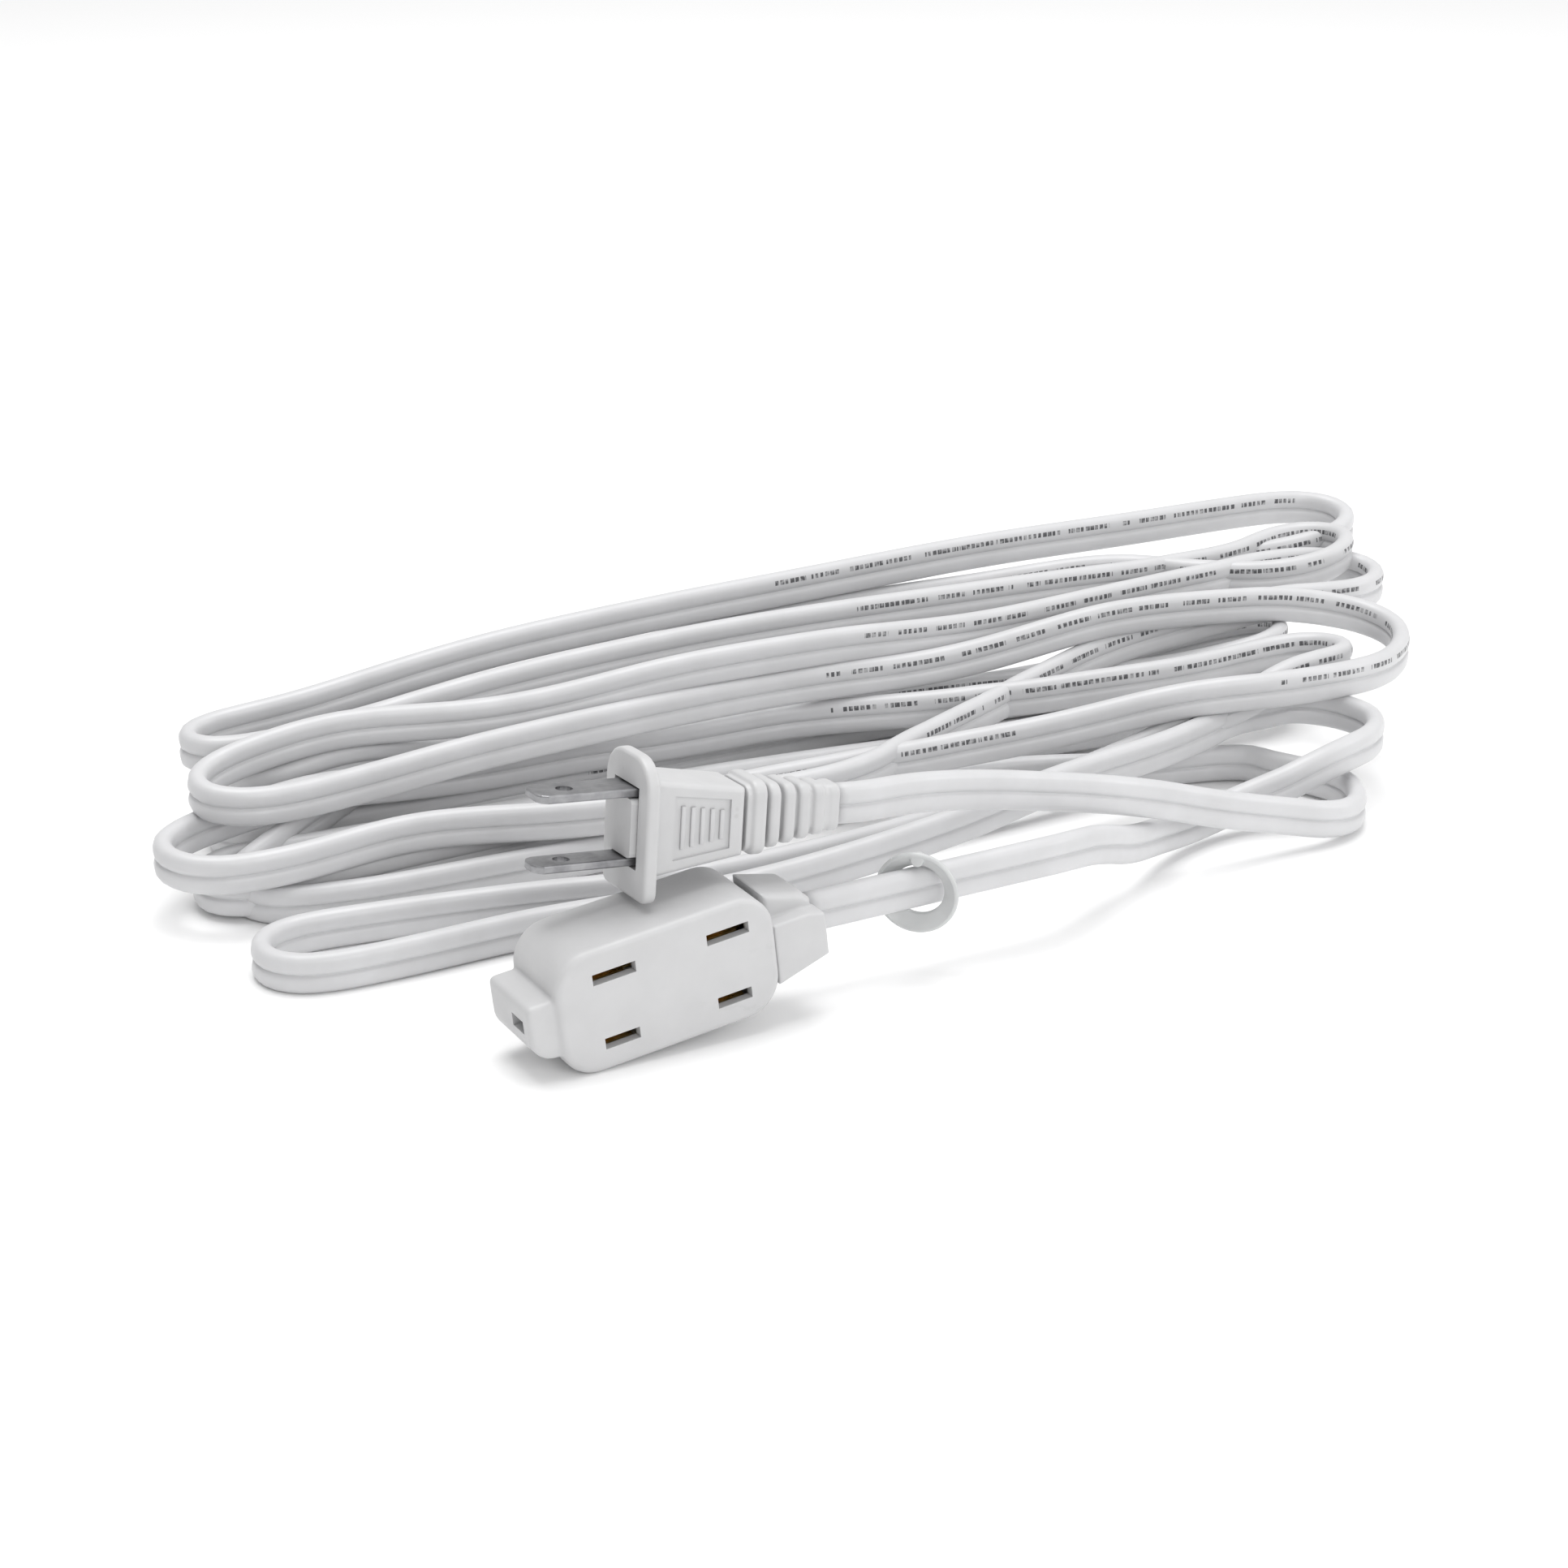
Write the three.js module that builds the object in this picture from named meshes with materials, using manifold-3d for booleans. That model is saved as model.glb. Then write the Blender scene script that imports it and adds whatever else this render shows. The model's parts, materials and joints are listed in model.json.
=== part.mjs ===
// Indoor extension cord: a two-pole flat cord laid in a loose hank, with a polarised
// two-blade plug at one end and a flat three-outlet tap at the other.
// Units are millimetres, +Z is up and z = 0 is the surface that the cord lies on.
// The origin is the centre of the tap's footprint. +X runs along the tap to its cord end,
// -Y is the way its two front outlets face.

import * as THREE from 'three';
import { mergeVertices } from 'three/addons/utils/BufferGeometryUtils.js';
import Module from 'manifold-3d';

const wasm = await Module();
wasm.setup();

// ---- Shared sizes -----------------------------------------------------------------
const poleSpacing = 12.7;      // centre to centre of the two blades, and of two slots
const bladeThickness = 1.5;
const neutralBladeWidth = 7.9;
const hotBladeWidth = 6.35;
const fitGap = 0.3;            // clearance between pieces that touch
const cordWidth = 7.6;
const cordThickness = 3.8;
const wirePitch = 4;           // between the two conductors inside the cord
const wireDiameter = 1.5;
const wireEndInset = 0.4;      // the conductors stop this far inside a strain relief's end
const passageCorner = 0.9;     // of the opening that the two conductors run through
const lap = 0.1;               // joined solids run this far into each other
const cutPast = 1;             // cuts start and end this far outside a solid

// ---- Tap sizes, from the first outlet's centre on the front face ---------------------
const tapDepth = 18;
const tapHeight = 23.4;
const tapLeft = -11.4;
const tapRight = 31.6;
const tapCorner = 7;
const tapEdge = 1.2;
const tapWall = 1.8;
const tapPitchAngle = 6.5;     // degrees, tail end up
const outletSpacing = 22.2;    // between the two front outlets
const slotHeight = 2.1;
const slotSlack = 0.4;         // slot length beyond the blade's width
const noseLength = 5.1;
const noseLow = -6.5;
const noseHigh = 4.5;
const noseCorner = 4.6;
const noseRootCorner = 1;
const noseTopCorner = 1.2;
const noseEdge = 0.8;
const noseInset = 1;           // the nose's sides lie this far inside the faces
const noseHoleDepth = 4.5;
const noseHoleHeight = 2.5;
const noseHoleY = 5.8;

// ---- Tap inner sizes ------------------------------------------------------------------
const coreTailRoom = 3.9;      // left free between the core and the tap's end wall
const coreCorner = 1;
const coreWebHalf = 3.9;
const coreFlange = 0.9;
const coreEndWall = 3.6;
const busThickness = 0.6;
const busWidth = 9;
const clipLength = 6;
const clipLeaf = 0.5;
const clipMouth = 2.6;         // between the leaves at their open ends
const clipPinch = 1.3;         // between the leaves where they grip a blade
const clipInset = 0.7;         // from the core's face to the clip's mouth
const clipReach = 9.5;
const clipPinchShare = 0.35;   // of the reach, from the mouth to where the leaves grip
const clipSwellShare = 0.6;    // of the reach, to where the leaves open again
const clipSwell = 0.25;
const clipEndSwell = 0.1;
const clipBendLap = 0.4;
const crimpFloor = 0.5;
const crimpEar = 0.5;
const crimpWidth = 3;
const crimpLength = 1.4;
const crimpFloorGap = 0.15;    // between the conductor and the crimp's floor
const crimpEarPast = 0.3;      // the ears stand this far past the conductor

// ---- Tap tail ---------------------------------------------------------------------------
const tailLength = 9.6;
const tailNeckHalfY = 3.4;
const tailNeckHalfZ = 4.6;
const tailNeckCorner = 1.2;
const tailLip = 1;             // thickness of the flange behind the tap's end wall
const tailLipReach = 1.2;      // the flange stands this far out from the neck
const tailLipCorner = 1;
const barrelLow = [-6.8, -5, -4.2];  // at the tap, before the end's slope, at the end
const barrelHigh = [8, 6, 4.6];
const barrelSlope = 1.6;
const barrelFront = 4.2;
const barrelBackInset = 2;
const barrelEdge = 1;
const webLow = [-6.2, -3.6];   // at the tap, at the end
const webHigh = [4.1, 3.2];
const webSlope = 2.6;
const webFront = 0.8;
const webBack = 6;

// ---- Plug sizes, from the centre of the face that the blades stand on -------------------
const flangeHeight = 25.7;
const flangeDepth = 17.4;
const flangeThickness = 2.5;
const flangeTopCorner = 6;
const flangeLowCorner = 2;
const flangeEdge = 0.6;
const bladeLength = 18.2;
const bladeHoleFromFace = 12;
const bladeHoleDiameter = 3.1;
const bladeEdge = 0.3;
const bladeTip = [0, 0.5, 1.7];      // distances from the tip of the blade's three tapering steps
const bladeTipDrop = [1.8, 0.7, 0];  // how much narrower each side is there
const plugBodyEnd = 20.4;
const plugBodyRootHeight = 17.7;
const plugBodyTailHeight = 12.4;
const plugBodyDepth = 12.6;
const plugBodyEdge = 1.5;
const plugBodyLap = 0.8;       // the body starts this far inside the flange
const panelStart = 6.4;
const panelEnd = 17.4;
const panelStartMargin = 2.4;  // above and below the sunk panel
const panelEndMargin = 2.2;
const panelRecess = 0.5;
const ridgeCount = 5;
const ridgePitch = 1.9;
const ridgeStart = 8.2;
const ridgeWidth = 0.8;
const ridgeMargin = 4.1;
const ridgeSunk = 0.1;         // the ridges' tops lie this far below the body's side
const bridgeStandProud = 1.2;
const bridgeHalfY = 4.6;
const bridgeCorner = 0.8;
const bladeRootEnd = 3.4;
const plugCrimpLength = 3.6;
const crimpPocketHalfZ = 3.5;
const plugNeckHalfY = 3.2;
const plugNeckHalfZ = 4.4;
const plugNeckCorner = 1.2;
const plugNeckReach = 2;
const reliefLength = 20.5;
const reliefCorner = 2;
const reliefRim = [0.5, 1.6];  // where the thin rim starts and ends
const reliefRimHalfY = 5.4;
const reliefRimHalfZ = 6.1;
const reliefCollar = [1.5, 4.4];
const reliefCollarHalfY = 5.9;
const reliefCollarHalfZ = 6.8;
const reliefCollarEdge = 0.5;
const ribCount = 5;
const ribHalfY = 5.2;          // the first rib
const ribHalfZ = 6;
const ribStepY = 0.5;          // each next rib is this much less
const ribStepZ = 0.45;
const ribGap = 0.7;
const ribGapDrop = 0.9;
const ribGapCorner = 1.6;
const ribEdge = 0.4;
const plugYaw = -1.7;          // degrees about Z against the tap
const plugPitch = 6;           // degrees, tail down
const plugRoll = -4.5;         // degrees, top leaning back
const plugSeatX = 12.6;        // along the tap, to the plug's face
const plugSeatY = 15.6;        // into the tap's depth, to the plug's middle

// ---- Slip ring ------------------------------------------------------------------------
const ringClearance = 1.1;     // between the hole and the cord's wide sides
const ringRim = 2.6;           // from the hole to the outside
const ringEdge = 0.3;
const ringThickness = 1.2;
const ringDish = 1.6;
const ringBossRadius = 1.25;
const ringBossHeight = 0.8;
const ringFromTail = 24;       // along the cord from the tap's tail
const ringSkew = 44;           // degrees between the ring's axis and the cord
const ringHang = 0.5;          // the ring hangs this far below the cord's middle

// ---- Hank -------------------------------------------------------------------------------
const hankLeft = [-26.5, 83];  // centres of the two round ends
const hankRight = [192.5, 96];
const hankLeftRadius = 36;
const hankRightRadius = 48;
const hankHeight = 31;
const hankEdge = 7;

// The plain stretches of cord, from the tap's tail and from the plug's tail to the hank.
const cordStep = 7;            // length of one step of the cord's stand-in
const cordShoulder = 0.45;     // of half the cord's thickness, the height of its sloped edges
const cordRidge = 0.55;        // of half the cord's thickness, half the flat on top and below
const straightLead = 54;       // the cord leaves the tap level and straight this far
const laidWidth = 7.6;         // the cord width that these heights are for
const tapLeadPoints = [
  [95.5, 4.5, 14.6], [107.5, 10, 10.2], [119.5, 17, 6.9], [132.5, 22, 5.2],
  [143.5, 23.5, 6.4], [154.5, 22, 9.2], [163.5, 21.5, 11.8], [171.5, 22.8, 12.7],
  [179.5, 26, 12.8], [184.5, 32, 12.9], [184, 39, 13.2], [178.7, 46.25, 13.6],
];
const plugLeadPoints = [
  [53, 6.4, 32.7], [63.5, 7.6, 31], [75, 9, 28.4], [87, 10.4, 25.2],
  [100.6, 12, 21.4], [114.4, 12.4, 17.4], [129.7, 12, 12.4], [145, 11, 8.2],
  [156.7, 10, 5.4], [164, 12, 4.4], [169.5, 18, 4.2], [171.5, 25, 4.2],
  [169.5, 32, 4.2], [166, 38.5, 4.2], [161.6, 46.4, 4.2],
];

// ---- Finishes ---------------------------------------------------------------------------
const whiteVinyl = new THREE.MeshStandardMaterial({ color: 0xe9e9e8, roughness: 0.5, metalness: 0 });
const cordVinyl = new THREE.MeshStandardMaterial({ color: 0xe4e4e4, roughness: 0.45, metalness: 0 });
const clearPlastic = new THREE.MeshStandardMaterial({ color: 0xdfe3e3, roughness: 0.3, metalness: 0 });
const coreResin = new THREE.MeshStandardMaterial({ color: 0xcfcabc, roughness: 0.6, metalness: 0 });
const platedBrass = new THREE.MeshStandardMaterial({ color: 0xa9a9ab, roughness: 0.35, metalness: 1 });
const springBrass = new THREE.MeshStandardMaterial({ color: 0xc9a455, roughness: 0.35, metalness: 1 });
const copper = new THREE.MeshStandardMaterial({ color: 0xb8734a, roughness: 0.4, metalness: 1 });

// ---- Shape helpers ------------------------------------------------------------------------
const degrees = THREE.MathUtils.degToRad;
const axisX = new THREE.Vector3(1, 0, 0);
const axisY = new THREE.Vector3(0, 1, 0);
const axisZ = new THREE.Vector3(0, 0, 1);

function toSolid(geometry) {
  const bare = geometry.clone();
  bare.deleteAttribute('normal');
  bare.deleteAttribute('uv');
  const merged = mergeVertices(bare, 1e-4);
  return new wasm.Manifold(new wasm.Mesh({
    numProp: 3,
    vertProperties: new Float32Array(merged.attributes.position.array),
    triVerts: new Uint32Array(merged.index.array),
  }));
}

function toGeometry(solid) {
  const mesh = solid.getMesh();
  const geometry = new THREE.BufferGeometry();
  geometry.setAttribute('position', new THREE.BufferAttribute(mesh.vertProperties, 3));
  geometry.setIndex(new THREE.BufferAttribute(mesh.triVerts, 1));
  geometry.computeVertexNormals();
  return geometry;
}

function block(x0, x1, y0, y1, z0, z1) {
  const geometry = new THREE.BoxGeometry(x1 - x0, y1 - y0, z1 - z0);
  geometry.translate((x0 + x1) / 2, (y0 + y1) / 2, (z0 + z1) / 2);
  return toSolid(geometry);
}

// A rectangle whose corners are given their own radii: left-low, right-low, right-high, left-high.
function roundedOutline(u0, u1, v0, v1, radii, cornerSteps = 5) {
  const [leftLow, rightLow, rightHigh, leftHigh] = radii;
  const corners = [
    [u0 + leftLow, v0 + leftLow, leftLow], [u1 - rightLow, v0 + rightLow, rightLow],
    [u1 - rightHigh, v1 - rightHigh, rightHigh], [u0 + leftHigh, v1 - leftHigh, leftHigh]];
  const points = corners.flatMap(([u, v, radius], corner) => (
    Array.from({ length: cornerSteps + 1 }, (_, step) => {
      const angle = Math.PI + (corner + step / cornerSteps) * Math.PI / 2;
      return new THREE.Vector2(u + radius * Math.cos(angle), v + radius * Math.sin(angle));
    })));
  return new THREE.Shape(points);
}

function extrusion(shape, depth, edge, curveSegments = 10) {
  const settings = { depth, curveSegments, steps: 1, bevelEnabled: false };
  if (edge > 0) {
    Object.assign(settings, {
      depth: depth - 2 * edge, bevelEnabled: true, bevelThickness: edge, bevelSize: edge,
      bevelOffset: -edge, bevelSegments: 2,
    });
  }
  const geometry = new THREE.ExtrudeGeometry(shape, settings);
  geometry.translate(0, 0, edge);
  return geometry;
}

// An outline in X and Z, carried from y0 to y1.
function plateAlongY(shape, y0, y1, edge = 0) {
  const geometry = extrusion(shape, y1 - y0, edge);
  geometry.applyMatrix4(new THREE.Matrix4().makeBasis(axisX, axisZ, axisY.clone().negate()));
  geometry.translate(0, y1, 0);
  return toSolid(geometry);
}

// An outline in Y and Z, carried from x0 to x1.
function plateAlongX(shape, x0, x1, edge = 0) {
  const geometry = extrusion(shape, x1 - x0, edge);
  geometry.applyMatrix4(new THREE.Matrix4().makeBasis(axisY, axisZ, axisX));
  geometry.translate(x0, 0, 0);
  return toSolid(geometry);
}

// A slab across the cord's line: its outline is a rounded rectangle in Y and Z.
function collarSlab(x0, x1, middleY, halfY, halfZ, corner, edge = 0) {
  const limited = Math.min(corner, halfY * 0.9, halfZ * 0.9);
  const outline = roundedOutline(
    middleY - halfY, middleY + halfY, -halfZ, halfZ, Array(4).fill(limited), 3);
  return plateAlongX(outline, x0, x1, edge);
}

function polygon(points) {
  return new THREE.Shape(points.map(([u, v]) => new THREE.Vector2(u, v)));
}

function piece(name, solid, material) {
  const mesh = new THREE.Mesh(solid.isBufferGeometry ? solid : toGeometry(solid), material);
  mesh.name = name;
  return mesh;
}

// ---- Tap ----------------------------------------------------------------------------------
const tapMiddleY = tapDepth / 2;
const tapHalf = tapHeight / 2;
const frontOutlets = [0, outletSpacing];
const backOutlet = outletSpacing / 2;
const poles = [
  { name: 'neutral', side: 1, bladeWidth: neutralBladeWidth },
  { name: 'hot', side: -1, bladeWidth: hotBladeWidth },
];

function slotCut(x, pole, y0, y1) {
  const halfLength = (pole.bladeWidth + slotSlack) / 2;
  const middleZ = pole.side * poleSpacing / 2;
  return block(x - halfLength, x + halfLength, y0, y1, middleZ - slotHeight / 2, middleZ + slotHeight / 2);
}

function makeTapShell() {
  const corners = Array(4).fill(tapCorner);
  const outside = roundedOutline(tapLeft, tapRight, -tapHalf, tapHalf, corners);
  let shell = plateAlongY(outside, 0, tapDepth, tapEdge);
  const noseOutline = roundedOutline(
    tapLeft - noseLength, tapLeft + noseLength, noseLow, noseHigh,
    [noseCorner, noseRootCorner, noseRootCorner, noseTopCorner]);
  shell = shell.add(plateAlongY(noseOutline, noseInset, tapDepth - noseInset, noseEdge));
  const innerHalf = tapHalf - tapWall;
  const inside = roundedOutline(
    tapLeft + tapWall, tapRight - tapWall, -innerHalf, innerHalf, Array(4).fill(tapCorner - tapWall));
  shell = shell.subtract(plateAlongY(inside, tapWall, tapDepth - tapWall));
  for (const pole of poles) {
    for (const x of frontOutlets) {
      shell = shell.subtract(slotCut(x, pole, -cutPast, tapWall + lap));
    }
    shell = shell.subtract(slotCut(backOutlet, pole, tapDepth - tapWall - lap, tapDepth + cutPast));
  }
  shell = shell.subtract(block(
    tapLeft - noseLength - cutPast, tapLeft + tapWall + lap,
    noseHoleY - noseHoleDepth / 2, noseHoleY + noseHoleDepth / 2, -noseHoleHeight / 2, noseHoleHeight / 2));
  return shell.subtract(collarSlab(
    tapRight - tapWall - lap, tapRight + cutPast, tapMiddleY,
    tailNeckHalfY + fitGap, tailNeckHalfZ + fitGap, tailNeckCorner + fitGap));
}

const coreLeft = tapLeft + tapWall + fitGap;
const coreRight = tapRight - tapWall - coreTailRoom;
const coreHalf = tapHalf - tapWall - fitGap;

function makeTapCore() {
  const radius = tapCorner - tapWall - fitGap;
  const outline = roundedOutline(coreLeft, coreRight, -coreHalf, coreHalf, [radius, coreCorner, coreCorner, radius]);
  let core = plateAlongY(outline, tapWall + fitGap, tapDepth - tapWall - fitGap);
  for (const pole of poles) {
    const near = Math.min(pole.side * coreWebHalf, pole.side * (coreHalf - coreFlange));
    const far = Math.max(pole.side * coreWebHalf, pole.side * (coreHalf - coreFlange));
    core = core.subtract(block(coreLeft + coreEndWall, coreRight + cutPast, 0, tapDepth, near, far));
  }
  return core;
}

// A U-shaped crimp with its floor towards the middle, around the upper conductor.
function crimp(x0, x1, middleY) {
  const wireZ = wirePitch / 2;
  const floorHigh = wireZ - wireDiameter / 2 - crimpFloorGap;
  const earHigh = wireZ + wireDiameter / 2 + crimpEarPast;
  const half = crimpWidth / 2;
  const inner = half - crimpEar;
  const floorLow = floorHigh - crimpFloor;
  return plateAlongX(polygon([
    [middleY - half, floorLow], [middleY + half, floorLow], [middleY + half, earHigh], [middleY + inner, earHigh],
    [middleY + inner, floorHigh], [middleY - inner, floorHigh], [middleY - inner, earHigh],
    [middleY - half, earHigh]]), x0, x1);
}

function onSide(upperPiece, pole) {
  return pole.side > 0 ? upperPiece : upperPiece.mirror([0, 0, 1]);
}

const crimpFloorLow = wirePitch / 2 - wireDiameter / 2 - crimpFloorGap - crimpFloor;

function makeBusBar(pole) {
  const low = coreWebHalf + fitGap;
  const legX = coreRight + fitGap;
  const strip = block(
    coreLeft + coreEndWall + fitGap, legX + busThickness - lap,
    tapMiddleY - busWidth / 2, tapMiddleY + busWidth / 2, low, low + busThickness);
  const legHalf = crimpWidth / 2 - crimpEar - lap;
  const leg = block(
    legX, legX + busThickness, tapMiddleY - legHalf, tapMiddleY + legHalf,
    crimpFloorLow + lap, low + busThickness / 2);
  const barrel = crimp(legX + busThickness / 2, legX + busThickness + crimpLength, tapMiddleY);
  return onSide(strip.add(leg).add(barrel), pole);
}

// A folded leaf contact: two sprung leaves that pinch a blade, joined by a bend at the far end.
function makeClip(x, pole, facesFront) {
  const mouth = clipMouth / 2;
  const pinch = clipPinch / 2;
  const y0 = tapWall + fitGap + clipInset;
  const end = pinch + clipEndSwell;
  const inner = [
    [0, mouth], [clipReach * clipPinchShare, pinch], [clipReach * clipSwellShare, pinch + clipSwell],
    [clipReach, end]];
  const outer = inner.map(([y, z]) => [y, z + clipLeaf]);
  const upper = [...inner, ...outer.reverse()];
  const lower = upper.map(([y, z]) => [y, -z]).reverse();
  const bend = polygon([
    [clipReach - clipBendLap, end + clipLeaf], [clipReach - clipBendLap, -end - clipLeaf],
    [clipReach + clipLeaf, -pinch], [clipReach + clipLeaf, pinch]]);
  let clip = plateAlongX(polygon(upper), x - clipLength / 2, x + clipLength / 2);
  clip = clip.add(plateAlongX(polygon(lower), x - clipLength / 2, x + clipLength / 2));
  clip = clip.add(plateAlongX(bend, x - clipLength / 2, x + clipLength / 2));
  clip = clip.translate([0, y0, pole.side * poleSpacing / 2]);
  return facesFront ? clip : clip.mirror([0, 1, 0]).translate([0, tapDepth, 0]);
}

function makeWire(x0, x1, middleY, side) {
  const geometry = new THREE.CylinderGeometry(wireDiameter / 2, wireDiameter / 2, x1 - x0, 10);
  geometry.rotateZ(Math.PI / 2);
  geometry.translate((x0 + x1) / 2, middleY, side * wirePitch / 2);
  return toSolid(geometry);
}

function wirePassage(x0, x1, middleY) {
  return collarSlab(
    x0, x1, middleY, wireDiameter / 2 + fitGap, wirePitch / 2 + wireDiameter / 2 + fitGap, passageCorner);
}

const tailStart = tapRight + fitGap;
const tailEnd = tailStart + tailLength;

// The tail is a tapered barrel with a flat web in front, held by a lip behind the end wall.
function makeTapTail() {
  const lipX = tapRight - tapWall - fitGap;
  const lip = collarSlab(
    lipX - tailLip, lipX, tapMiddleY, tailNeckHalfY + tailLipReach, tailNeckHalfZ + tailLipReach, tailLipCorner);
  const neck = collarSlab(
    lipX - lap, tailStart + lap, tapMiddleY, tailNeckHalfY, tailNeckHalfZ, tailNeckCorner);
  const barrel = polygon([
    [tailStart, barrelLow[0]], [tailEnd - barrelSlope, barrelLow[1]], [tailEnd, barrelLow[2]],
    [tailEnd, barrelHigh[2]], [tailEnd - barrelSlope, barrelHigh[1]], [tailStart, barrelHigh[0]]]);
  const web = polygon([
    [tailStart, webLow[0]], [tailEnd, webLow[1]], [tailEnd, webHigh[1]],
    [tailEnd - webSlope, webHigh[0]], [tailStart, webHigh[0]]]);
  let tail = lip.add(neck);
  tail = tail.add(plateAlongY(barrel, barrelFront, tapDepth - barrelBackInset, barrelEdge));
  tail = tail.add(plateAlongY(web, webFront, webBack));
  return tail.subtract(wirePassage(lipX - tailLip - cutPast, tailEnd + cutPast, tapMiddleY));
}

const tap = new THREE.Group();
tap.add(piece('tap_shell', makeTapShell(), whiteVinyl));
tap.add(piece('tap_core', makeTapCore(), coreResin));
tap.add(piece('tap_strain_relief', makeTapTail(), whiteVinyl));
for (const pole of poles) {
  tap.add(piece(`bus_bar_${pole.name}`, makeBusBar(pole), springBrass));
  frontOutlets.forEach((x, index) => {
    tap.add(piece(`contact_clip_front_${index + 1}_${pole.name}`, makeClip(x, pole, true), springBrass));
  });
  tap.add(piece(`contact_clip_back_${pole.name}`, makeClip(backOutlet, pole, false), springBrass));
  const wireStart = coreRight + 2 * fitGap + busThickness;
  const wire = makeWire(wireStart, tailEnd - wireEndInset, tapMiddleY, pole.side);
  tap.add(piece(`tap_wire_${pole.name}`, wire, copper));
}

// ---- Plug ---------------------------------------------------------------------------------
function bodyHalfHeight(x) {
  const along = (x - flangeThickness) / (plugBodyEnd - flangeThickness);
  return THREE.MathUtils.lerp(plugBodyRootHeight, plugBodyTailHeight, along) / 2;
}

function makePlugShell() {
  const halfZ = flangeHeight / 2;
  const halfY = flangeDepth / 2;
  const flangeOutline = roundedOutline(
    -halfY, halfY, -halfZ, halfZ, [flangeLowCorner, flangeLowCorner, flangeTopCorner, flangeTopCorner]);
  let shell = plateAlongX(flangeOutline, 0, flangeThickness, flangeEdge);
  const rootX = flangeThickness - plugBodyLap;
  const side = polygon([
    [rootX, -bodyHalfHeight(rootX)], [plugBodyEnd, -bodyHalfHeight(plugBodyEnd)],
    [plugBodyEnd, bodyHalfHeight(plugBodyEnd)], [rootX, bodyHalfHeight(rootX)]]);
  shell = shell.add(plateAlongY(side, -plugBodyDepth / 2, plugBodyDepth / 2, plugBodyEdge));
  for (const face of [-1, 1]) {
    shell = shell.subtract(gripPanel(face, plugBodyDepth / 2 - panelRecess, plugBodyDepth / 2 + cutPast));
    for (let index = 0; index < ridgeCount; index += 1) {
      const x = ridgeStart + index * ridgePitch;
      const ridgeHalf = bodyHalfHeight(x) - ridgeMargin;
      const y0 = plugBodyDepth / 2 - panelRecess - 2 * lap;
      const y1 = plugBodyDepth / 2 - ridgeSunk;
      const ridge = block(x - ridgeWidth / 2, x + ridgeWidth / 2, y0, y1, -ridgeHalf, ridgeHalf);
      shell = shell.add(face > 0 ? ridge : ridge.mirror([0, 1, 0]));
    }
  }
  const pocketHalfZ = poleSpacing / 2 + bladeThickness / 2 + fitGap;
  const pocketHalfY = bridgeHalfY + fitGap;
  shell = shell.subtract(block(
    -cutPast, bladeRootEnd + fitGap, -pocketHalfY, pocketHalfY, -pocketHalfZ, pocketHalfZ));
  shell = shell.subtract(block(
    bladeRootEnd, plugCrimpEnd + fitGap, -crimpWidth / 2 - fitGap, crimpWidth / 2 + fitGap,
    -crimpPocketHalfZ, crimpPocketHalfZ));
  shell = shell.subtract(wirePassage(plugCrimpEnd, plugBodyEnd + cutPast, 0));
  return shell.subtract(collarSlab(
    plugBodyEnd - plugNeckReach, plugBodyEnd + cutPast, 0, plugNeckHalfY + fitGap, plugNeckHalfZ + fitGap,
    plugNeckCorner + fitGap));
}

const plugCrimpEnd = bladeRootEnd + plugCrimpLength;

// The sunk panel on each flat side of the plug's body.
function gripPanel(face, y0, y1) {
  const startHalf = bodyHalfHeight(panelStart) - panelStartMargin;
  const endHalf = bodyHalfHeight(panelEnd) - panelEndMargin;
  const outline = polygon([
    [panelStart, -startHalf], [panelEnd, -endHalf], [panelEnd, endHalf], [panelStart, startHalf]]);
  return plateAlongY(outline, Math.min(face * y0, face * y1), Math.max(face * y0, face * y1));
}

function makePlugBridge() {
  const halfZ = poleSpacing / 2 - bladeThickness / 2 - fitGap;
  const outline = roundedOutline(-bridgeHalfY, bridgeHalfY, -halfZ, halfZ, Array(4).fill(bridgeCorner), 2);
  return plateAlongX(outline, -bridgeStandProud, bladeRootEnd - busThickness - fitGap);
}

function makeBlade(pole) {
  const half = pole.bladeWidth / 2;
  const z = poleSpacing / 2;
  const lowSide = bladeTip.map((x, step) => [x - bladeLength, bladeTipDrop[step] - half]);
  const highSide = lowSide.map(([x, y]) => [x, -y]).reverse();
  const outline = polygon([...lowSide, [bladeRootEnd, -half], [bladeRootEnd, half], ...highSide]);
  const plate = toSolid(extrusion(outline, bladeThickness, bladeEdge)).translate([0, 0, z - bladeThickness / 2]);
  const drill = new THREE.CylinderGeometry(bladeHoleDiameter / 2, bladeHoleDiameter / 2, 2 * bladeThickness, 16);
  drill.rotateX(Math.PI / 2);
  drill.translate(-bladeHoleFromFace, 0, z);
  const leg = block(
    bladeRootEnd - busThickness, bladeRootEnd, -crimpWidth / 2, crimpWidth / 2,
    crimpFloorLow, z - bladeThickness / 2 + bladeEdge);
  const barrel = crimp(bladeRootEnd - busThickness, plugCrimpEnd, 0);
  return onSide(plate.subtract(toSolid(drill)).add(leg).add(barrel), pole);
}

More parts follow.
